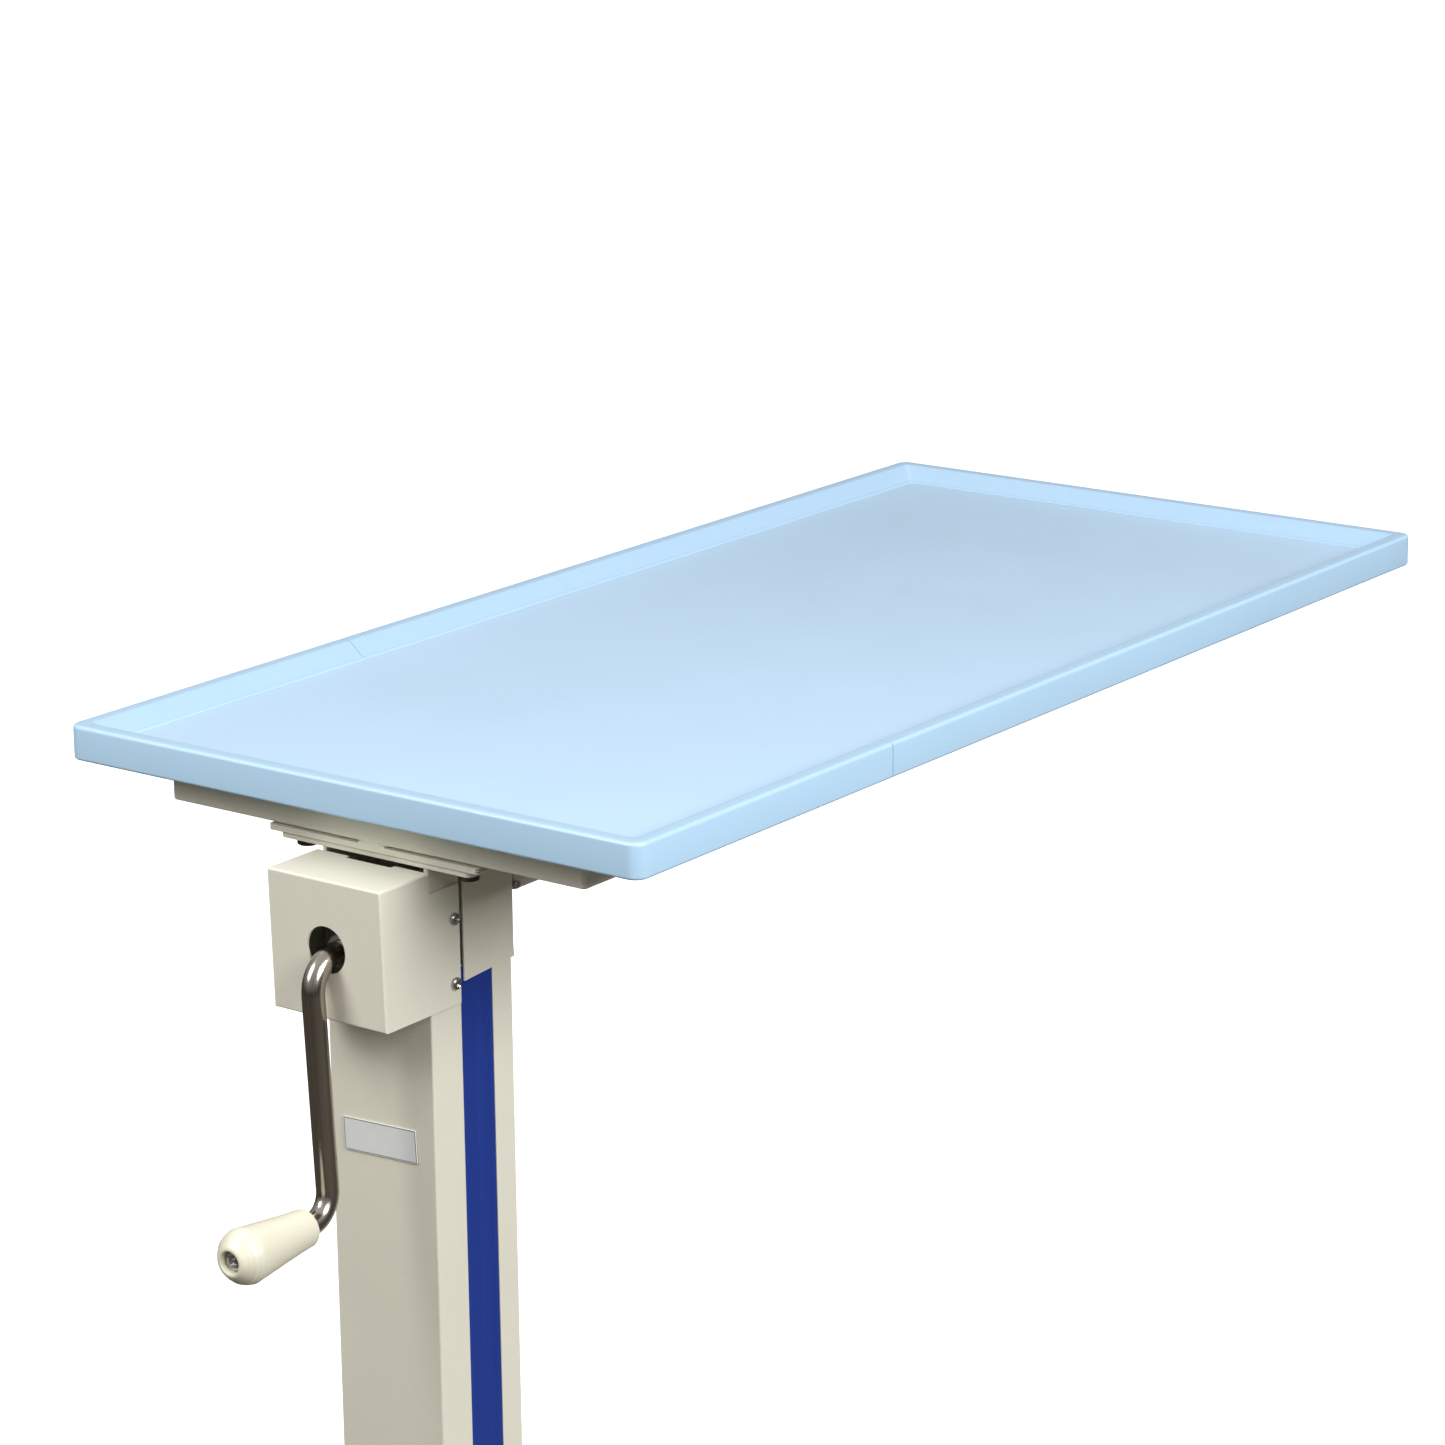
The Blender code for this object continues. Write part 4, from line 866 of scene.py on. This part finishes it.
def pan_screw(node, axis, direction, seat, radius, height, shank, centre, turn):
    """A pan head screw. Direction says which way its head faces, and shank is its end and radius."""
    profile = [shank, (seat, shank[1]), (seat, radius)]
    for step in range(1, 9):
        angle = math.pi / 2 * step / 8
        profile.append((seat + direction * height * (0.35 + 0.65 * math.sin(angle)),
                        radius * (0.25 + 0.75 * math.cos(angle) ** 0.8)))
    shape = turned(axis, profile, 40, centre)
    top = seat + direction * height
    arms = cross_cut(axis, centre, top, -direction * height * 0.8, radius * 0.70, radius * 0.42, turn)
    shape = combine(shape, arms)
    soften(shape, 0.05 * MM, 1, 50.0)
    stand_in(node, shape, 35.0)


def cover_screws():
    for number in range(1, 5):
        node = f"cover_screw_{number}"
        low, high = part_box(node)
        side = 1 if low.y > 0 else -1
        end, outer = (low.y, high.y) if side > 0 else (high.y, low.y)
        pan_screw(node, "Y", side, outer - side * SCREW_HEIGHT, SCREW_HEAD, SCREW_HEIGHT,
                  (end, SCREW_SHANK), middle_of("Y", low, high), 0.4 + number * 0.9)


# ---- Crank -----------------------------------------------------------------

ROD_RADIUS = 6.4 * MM
ARM_DISTANCE = 27.1 * MM          # from the tray's near end to the arm's middle
UPPER_BEND, LOWER_BEND = 18.5 * MM, 16 * MM
SPINDLE_RADIUS = 4 * MM
GRIP_BORE = 4.4 * MM
GRIP_THIN_END = 10.8 * MM
GRIP_END_ROUND = 2.4 * MM
GRIP_DOME = 12.0 * MM             # length of the stepped end
GRIP_RECESS = 5.4 * MM
GRIP_RECESS_RADIUS = 6.3 * MM
FAT_END = 15.8 * MM               # the radius that the stepped end's radii are given for


def crank_rod():
    """The bent rod, from its socket down the arm to the grip's spindle."""
    low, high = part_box("crank_rod")
    pivot = Vector(JOINTS["crank_turn"]["pos_m"])
    grip = Vector(JOINTS["grip_spin"]["pos_m"])
    down = Vector((0.0, grip.y - pivot.y, grip.z - pivot.z))
    length = down.length
    down.normalize()
    arm_x = tray_low.x - ARM_DISTANCE
    radius, upper, lower = ROD_RADIUS, UPPER_BEND, LOWER_BEND
    path = []
    radii = []

    def put(x, drop, size=radius):
        path.append(Vector((x, pivot.y, pivot.z)) + down * drop)
        radii.append(size)

    put(high.x, 0.0, radius - 0.8 * MM)
    put(high.x - 0.8 * MM, 0.0)
    put(high.x - 1.2 * MM, 0.0)
    for i in range(1, 6):
        put(high.x + (arm_x + upper - high.x) * i / 6, 0.0)
    for step in range(17):
        angle = math.pi / 2 * step / 16
        put(arm_x + upper * (1 - math.sin(angle)), upper * (1 - math.cos(angle)),
            radius * (1 + 0.02 * math.sin(2 * angle)))
    for i in range(1, 24):
        put(arm_x, upper + (length - upper - lower) * i / 24)
    for step in range(17):
        angle = math.pi / 2 * step / 16
        put(arm_x - lower * (1 - math.cos(angle)), length - lower + lower * math.sin(angle),
            radius * (1 - 0.03 * math.sin(2 * angle)))
    shoulder = grip.x + 0.3 * MM
    put(shoulder + 0.9 * MM, length)
    put(shoulder + 0.4 * MM, length)
    put(shoulder, length, radius - 0.4 * MM)
    bar = swept(path, radii, 32)
    spindle = prism("X", circle(SPINDLE_RADIUS, 32, (grip.y, grip.z)), low.x, shoulder + 3 * MM)
    shape = combine(bar, [spindle], "UNION")
    stand_in("crank_rod", shape)


def crank_grip():
    """The grip, with stepped rings on its domed end."""
    low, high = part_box("crank_grip")
    centre = middle_of("X", low, high)
    fat, thin, bend = (high.z - low.z) / 2, GRIP_THIN_END, GRIP_END_ROUND
    length = high.x - low.x
    profile = [(0.0, GRIP_BORE), (0.0, thin - bend)]
    for step in range(1, 8):
        angle = math.pi / 2 * step / 7
        profile.append((bend * (1 - math.cos(angle)), thin - bend * (1 - math.sin(angle))))
    body_end = length - GRIP_DOME
    for i in range(1, 13):
        t = i / 12
        profile.append((bend + (body_end - bend) * t, thin + (fat - thin) * (t ** 1.15)))
    steps = [(11.6, 15.75), (11.2, 15.40), (8.9, 15.10), (8.6, 14.95), (8.3, 14.60), (6.2, 13.95),
             (5.9, 13.75), (5.6, 13.30), (4.0, 12.20), (3.7, 12.00), (3.4, 11.60), (2.2, 10.60),
             (1.2, 9.60), (0.5, 8.60), (0.15, 7.90), (0.0, 7.20), (0.1, 6.70), (0.5, 6.50)]
    for back, radius in steps:
        profile.append((length - back * MM, radius * MM * fat / FAT_END))
    profile += [(length - GRIP_RECESS, GRIP_RECESS_RADIUS), (length - GRIP_RECESS, GRIP_BORE)]
    shape = turned("X", [(high.x - along, radius) for along, radius in profile], 72, centre, True)
    stand_in("crank_grip", shape, 25.0)
    pan_screw("grip_screw", "X", -1, low.x + GRIP_RECESS - 0.2 * MM, 5.6 * MM, 2.8 * MM,
              (low.x + 8.3 * MM, 2.0 * MM), centre, 0.55)


# ---- Screw -----------------------------------------------------------------

LEAD = 8 * MM
THREAD_TURNS = 45
THREAD_DEPTH = 1.6 * MM
SCREW_RADIUS = 8 * MM
JOURNAL_RADIUS = 6 * MM


def lead_screw():
    """A left-hand trapezoidal thread with a plain journal."""
    low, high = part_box("lead_screw")
    x = (low.x + high.x) / 2
    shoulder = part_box("gear_bracket")[0].z - GAP
    around, per_turn = 20, 10
    start = low.z + 4 * MM
    rings = [(low.z, None), (low.z + 0.6 * MM, None), (start - 0.5 * MM, None)]
    for row in range(THREAD_TURNS * per_turn + 1):
        rings.append((start + LEAD * row / per_turn, row / per_turn))
    rings.append((shoulder, None))
    points = []
    for index, (z, turn) in enumerate(rings):
        ring = []
        for i in range(around):
            angle = 2 * math.pi * i / around
            cut = 1.0
            if turn is not None:
                phase = (turn + i / around) % 1.0
                cut = min(1.0, max(0.0, 3.2 * abs(2 * phase - 1) - 1.1))
            radius = SCREW_RADIUS - THREAD_DEPTH * cut - (0.6 * MM if index == 0 else 0.0)
            ring.append((x + radius * math.cos(angle), radius * math.sin(angle), z))
        points.append(ring)
    journal = turned("Z", [(shoulder - 3 * MM, JOURNAL_RADIUS), (high.z - 0.5 * MM, JOURNAL_RADIUS),
                           (high.z, JOURNAL_RADIUS - 0.5 * MM)], 40, (x, 0.0))
    shape = combine(loft(points), [journal], "UNION")
    stand_in("lead_screw", shape, 30.0)


# ---- Base ------------------------------------------------------------------

LEG_INSIDE = 144.4 * MM           # from the middle plane to a leg's inner side
BEAM_HALF = 40 * MM
TYRE_HALF = 10 * MM
TYRE_SEAT = 18.2 * MM
TYRE_ROUND = 4.5 * MM
SPOKE_CIRCLE, SPOKE_HOLE = 12.4 * MM, 2.4 * MM
AXLE_RADIUS = 4 * MM
AXLE_NUT = 10.6 * MM


def base_welds():
    """The bead round the post's foot, and beads down and along the joints of beam and legs."""
    low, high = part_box("inner_post")
    middle = (low.x + high.x) / 2
    outline = oblong(high.x - low.x + 1 * MM, high.y - low.y + 1 * MM, 4 * MM, (middle, 0.0), 6)
    z = low.z + 0.6 * MM
    weld("post_weld", [(x, y, z) for x, y in outline], 2.4 * MM, closed=True)
    top = low.z - 1.0 * MM
    for number, (side, edge) in enumerate(((1, -1), (1, 1), (-1, -1), (-1, 1)), start=1):
        x = middle + edge * (BEAM_HALF + 0.4 * MM)
        y = side * LEG_INSIDE
        weld(f"beam_weld_{number}", [(x, y, top - 24 * MM), (x, y, top - 2 * MM)], 2.2 * MM)
        z = top + 0.8 * MM
        points = [(middle + edge * (BEAM_HALF - 2 * MM), y, z), (middle + edge * 3 * MM, y, z)]
        weld(f"beam_top_weld_{number}", points, 1.9 * MM)


def castor_wheel(number):
    """A tyre, and a hub with six holes."""
    node = f"castor_wheel_{number}"
    low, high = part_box(node)
    centre = (low + high) / 2
    radius = (high.z - low.z) / 2
    half = TYRE_HALF
    tyre = filleted([(-half, TYRE_SEAT, 0.4 * MM), (-half, radius, TYRE_ROUND),
                     (half, radius, TYRE_ROUND), (half, TYRE_SEAT, 0.4 * MM)], 6)
    shape = turned("Y", tyre, 64, (0.0, 0.0), True)
    bmesh.ops.translate(shape, verts=shape.verts, vec=centre)
    finish_piece(f"castor_tyre_{number}", shape, "castor_tyre", f"wheel_{number}", [node], 40.0)
    hub = [(along * MM - half, reach * MM) for along, reach in
           ((-2, 4.3), (-2, 7.4), (-1.4, 8), (3, 8.8), (3.4, 9.4), (3.4, 15.6), (3.0, 16.2),
            (0.8, 16.8), (0.4, 17.3), (0.6, 18.0))]
    hub += [(-along, reach) for along, reach in reversed(hub)]
    shape = turned("Y", hub, 64, (0.0, 0.0), True)
    holes = [prism("Y", circle(SPOKE_HOLE, 20, spoke), -5 * half, 5 * half)
             for spoke in circle(SPOKE_CIRCLE, 6)]
    shape = combine(shape, holes)
    soften(shape, 0.15 * MM, 2, 55.0)
    bmesh.ops.translate(shape, verts=shape.verts, vec=centre)
    finish_piece(f"castor_hub_{number}", shape, "grey_plastic", f"wheel_{number}", angle=35.0)


def castor_parts(number):
    """A castor's swivel head, axle, fork and wheel."""
    head = f"castor_head_{number}"
    low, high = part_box(head)
    profile = [(low.z + up * MM, radius * MM) for up, radius in
               ((0, 13), (0.6, 15.5), (1.7, 18.3), (2.3, 19), (4.1, 19), (4.4, 18.5), (4.8, 18.5),
                (5.1, 19), (8.2, 19), (9.4, 18.4), (10.2, 17), (10.2, 5))]
    profile += [(high.z - 0.6 * MM, 5 * MM), (high.z, 4.4 * MM)]
    shape = turned("Z", profile, 56, middle_of("Z", low, high))
    stand_in(head, shape, 30.0)
    axle = f"castor_axle_{number}"
    low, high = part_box(axle)
    centre = middle_of("Y", low, high)
    bar = turned("Y", [(low.y + 1.5 * MM, AXLE_RADIUS), (high.y - 1.0 * MM, AXLE_RADIUS)], 32, centre)
    nut = hex_head(centre, "Y", high.y - 3 * MM, 3 * MM, AXLE_NUT)
    cap = hex_head(centre, "Y", low.y + 3 * MM, -3 * MM, AXLE_NUT)
    shape = combine(bar, [nut, cap], "UNION")
    soften(shape, 0.1 * MM, 2, 28.0)
    stand_in(axle, shape, 30.0)
    refined(f"castor_fork_{number}", 0.45 * MM, 3)
    castor_wheel(number)


# ---- Everything ------------------------------------------------------------

rim("rim_short", tray_low.x, -1)
rim("rim_long", tray_high.x, 1)
tray_floor()
support_frame()
plate_with_holes("mounting_plate", 2 * MM, 0.5 * MM, (1.4 * MM, 2.7 * MM), 1.0 * MM)
plate_with_holes("column_flange", 4 * MM, 0.4 * MM)
flange_bolts()
gusset()
plate_weld()
column()
stripes()
label()
saddle()
crank_cover()
cover_screws()
crank_rod()
crank_grip()
lead_screw()
for hidden in ("crank_socket", "bevel_pinion", "bevel_gear", "gear_bracket", "shaft_bush",
               "thrust_bearing", "screw_nut", "post_head", "upper_guide", "lower_guide"):
    refined(hidden, 0.25 * MM, 2)
refined("inner_post", 0.25 * MM, 2, 50.0)
refined("base_frame", 0.35 * MM, 2, 50.0)
for cap in range(1, 5):
    refined(f"leg_cap_{cap}", 0.5 * MM, 3, 50.0)
base_welds()
for castor in range(1, 5):
    castor_parts(castor)
for pedal in (1, 2):
    refined(f"brake_pedal_{pedal}", 0.6 * MM, 3)

# ---- Studio ----------------------------------------------------------------

FLOOR_SIZE = 40.0
FLOOR_DROP = 0.5 * MM
FLOOR_GLOW = 0.65                 # seen by the camera only
BOUNCE_COLOUR = (0.07, 0.06, 0.045)


def studio_floor():
    """A pale floor. The camera sees it white, and the table is lit from below only a little."""
    shape = bmesh.new()
    corners = [(x * FLOOR_SIZE, y * FLOOR_SIZE) for x, y in ((-1, -1), (1, -1), (1, 1), (-1, 1))]
    shape.faces.new([shape.verts.new((x, y, -FLOOR_DROP)) for x, y in corners])
    item = bpy.data.objects.new("studio_floor", mesh_of(shape, "studio_floor"))
    bpy.context.scene.collection.objects.link(item)
    material = look("studio_floor_look", (0.95, 0.95, 0.95), 0.9, mottle=(2.0, 0.01), peel=(60.0, 0.02))
    tree = material.node_tree
    base = tree.nodes["Principled BSDF"].inputs["Base Color"]
    seen = add(tree, "ShaderNodeLightPath").outputs["Is Camera Ray"]
    tree.links.new(mix(tree, seen, BOUNCE_COLOUR, base.links[0].from_socket), base)
    glow = maths(tree, "MULTIPLY", seen, FLOOR_GLOW)
    shader = tree.nodes["Principled BSDF"]
    shader.inputs["Emission Color"].default_value = (1.0, 1.0, 1.0, 1.0)
    tree.links.new(glow, shader.inputs["Emission Strength"])
    item.data.materials.append(material)


def area_light(name, place, target, size, energy, colour=(1.0, 1.0, 1.0)):
    lamp = bpy.data.lights.new(name, "AREA")
    lamp.shape = "RECTANGLE"
    lamp.size, lamp.size_y = size
    lamp.energy = energy
    lamp.color = colour
    item = bpy.data.objects.new(name, lamp)
    bpy.context.scene.collection.objects.link(item)
    item.location = place
    item.rotation_euler = (Vector(target) - Vector(place)).to_track_quat("-Z", "Y").to_euler()


def surroundings():
    """An even white room, darker low down."""
    world = bpy.data.worlds.new("studio")
    bpy.context.scene.world = world
    world.use_nodes = True
    tree = world.node_tree
    background = tree.nodes["Background"]
    direction = add(tree, "ShaderNodeTexCoord").outputs["Generated"]
    split = add(tree, "ShaderNodeSeparateXYZ", {"Vector": direction})
    ranged = add(tree, "ShaderNodeMapRange", {"Value": split.outputs["Z"], "From Min": -0.05,
                                              "From Max": 0.9, "To Min": 0.125, "To Max": 0.70})
    tree.links.new(ranged.outputs[0], background.inputs["Strength"])
    background.inputs["Color"].default_value = (1.0, 1.0, 1.0, 1.0)


CAMERA_TURN = math.radians(36.457)
CAMERA_PITCH = math.radians(15.659)
CAMERA_ROLL = math.radians(-0.548)
CAMERA_SHIFT = (42.348 * MM, -41.654 * MM)
CAMERA_DISTANCE = 2662.875 * MM
FOCAL_SHARE = 4404.291 / 1445


def camera():
    """The camera that sees the table as the reference view does."""
    forward = Vector((math.cos(CAMERA_PITCH) * math.cos(CAMERA_TURN),
                      math.cos(CAMERA_PITCH) * math.sin(CAMERA_TURN), -math.sin(CAMERA_PITCH)))
    right = forward.cross(Vector((0.0, 0.0, 1.0))).normalized()
    up = right.cross(forward)
    turned_right = right * math.cos(CAMERA_ROLL) + up * math.sin(CAMERA_ROLL)
    turned_up = up * math.cos(CAMERA_ROLL) - right * math.sin(CAMERA_ROLL)
    origin = Vector((TRAY_MIDDLE.x, TRAY_MIDDLE.y, tray_low.z))
    place = origin - (turned_right * CAMERA_SHIFT[0] - turned_up * CAMERA_SHIFT[1]
                      + forward * CAMERA_DISTANCE)
    data = bpy.data.cameras.new("camera")
    data.sensor_width = 36.0
    data.lens = FOCAL_SHARE * data.sensor_width
    data.clip_end = 200.0
    item = bpy.data.objects.new("camera", data)
    bpy.context.scene.collection.objects.link(item)
    axes = Matrix((turned_right, turned_up, -forward)).transposed().to_4x4()
    item.matrix_world = Matrix.Translation(place) @ axes
    bpy.context.scene.camera = item


studio_floor()
surroundings()
area_light("right_front", (-0.8, -3.0, 2.42), (-0.1, 0.0, 0.6), (1.8, 1.5), 114.0)
area_light("front_high", (-1.99, 0.92, 2.54), (-0.4, 0.0, 0.7), (1.2, 1.0), 28.5, (1.0, 0.99, 0.97))
area_light("front_low", (-1.45, 0.62, 1.47), (-0.34, 0.0, 0.66), (0.7, 0.5), 4.8, (1.0, 0.975, 0.93))
camera()
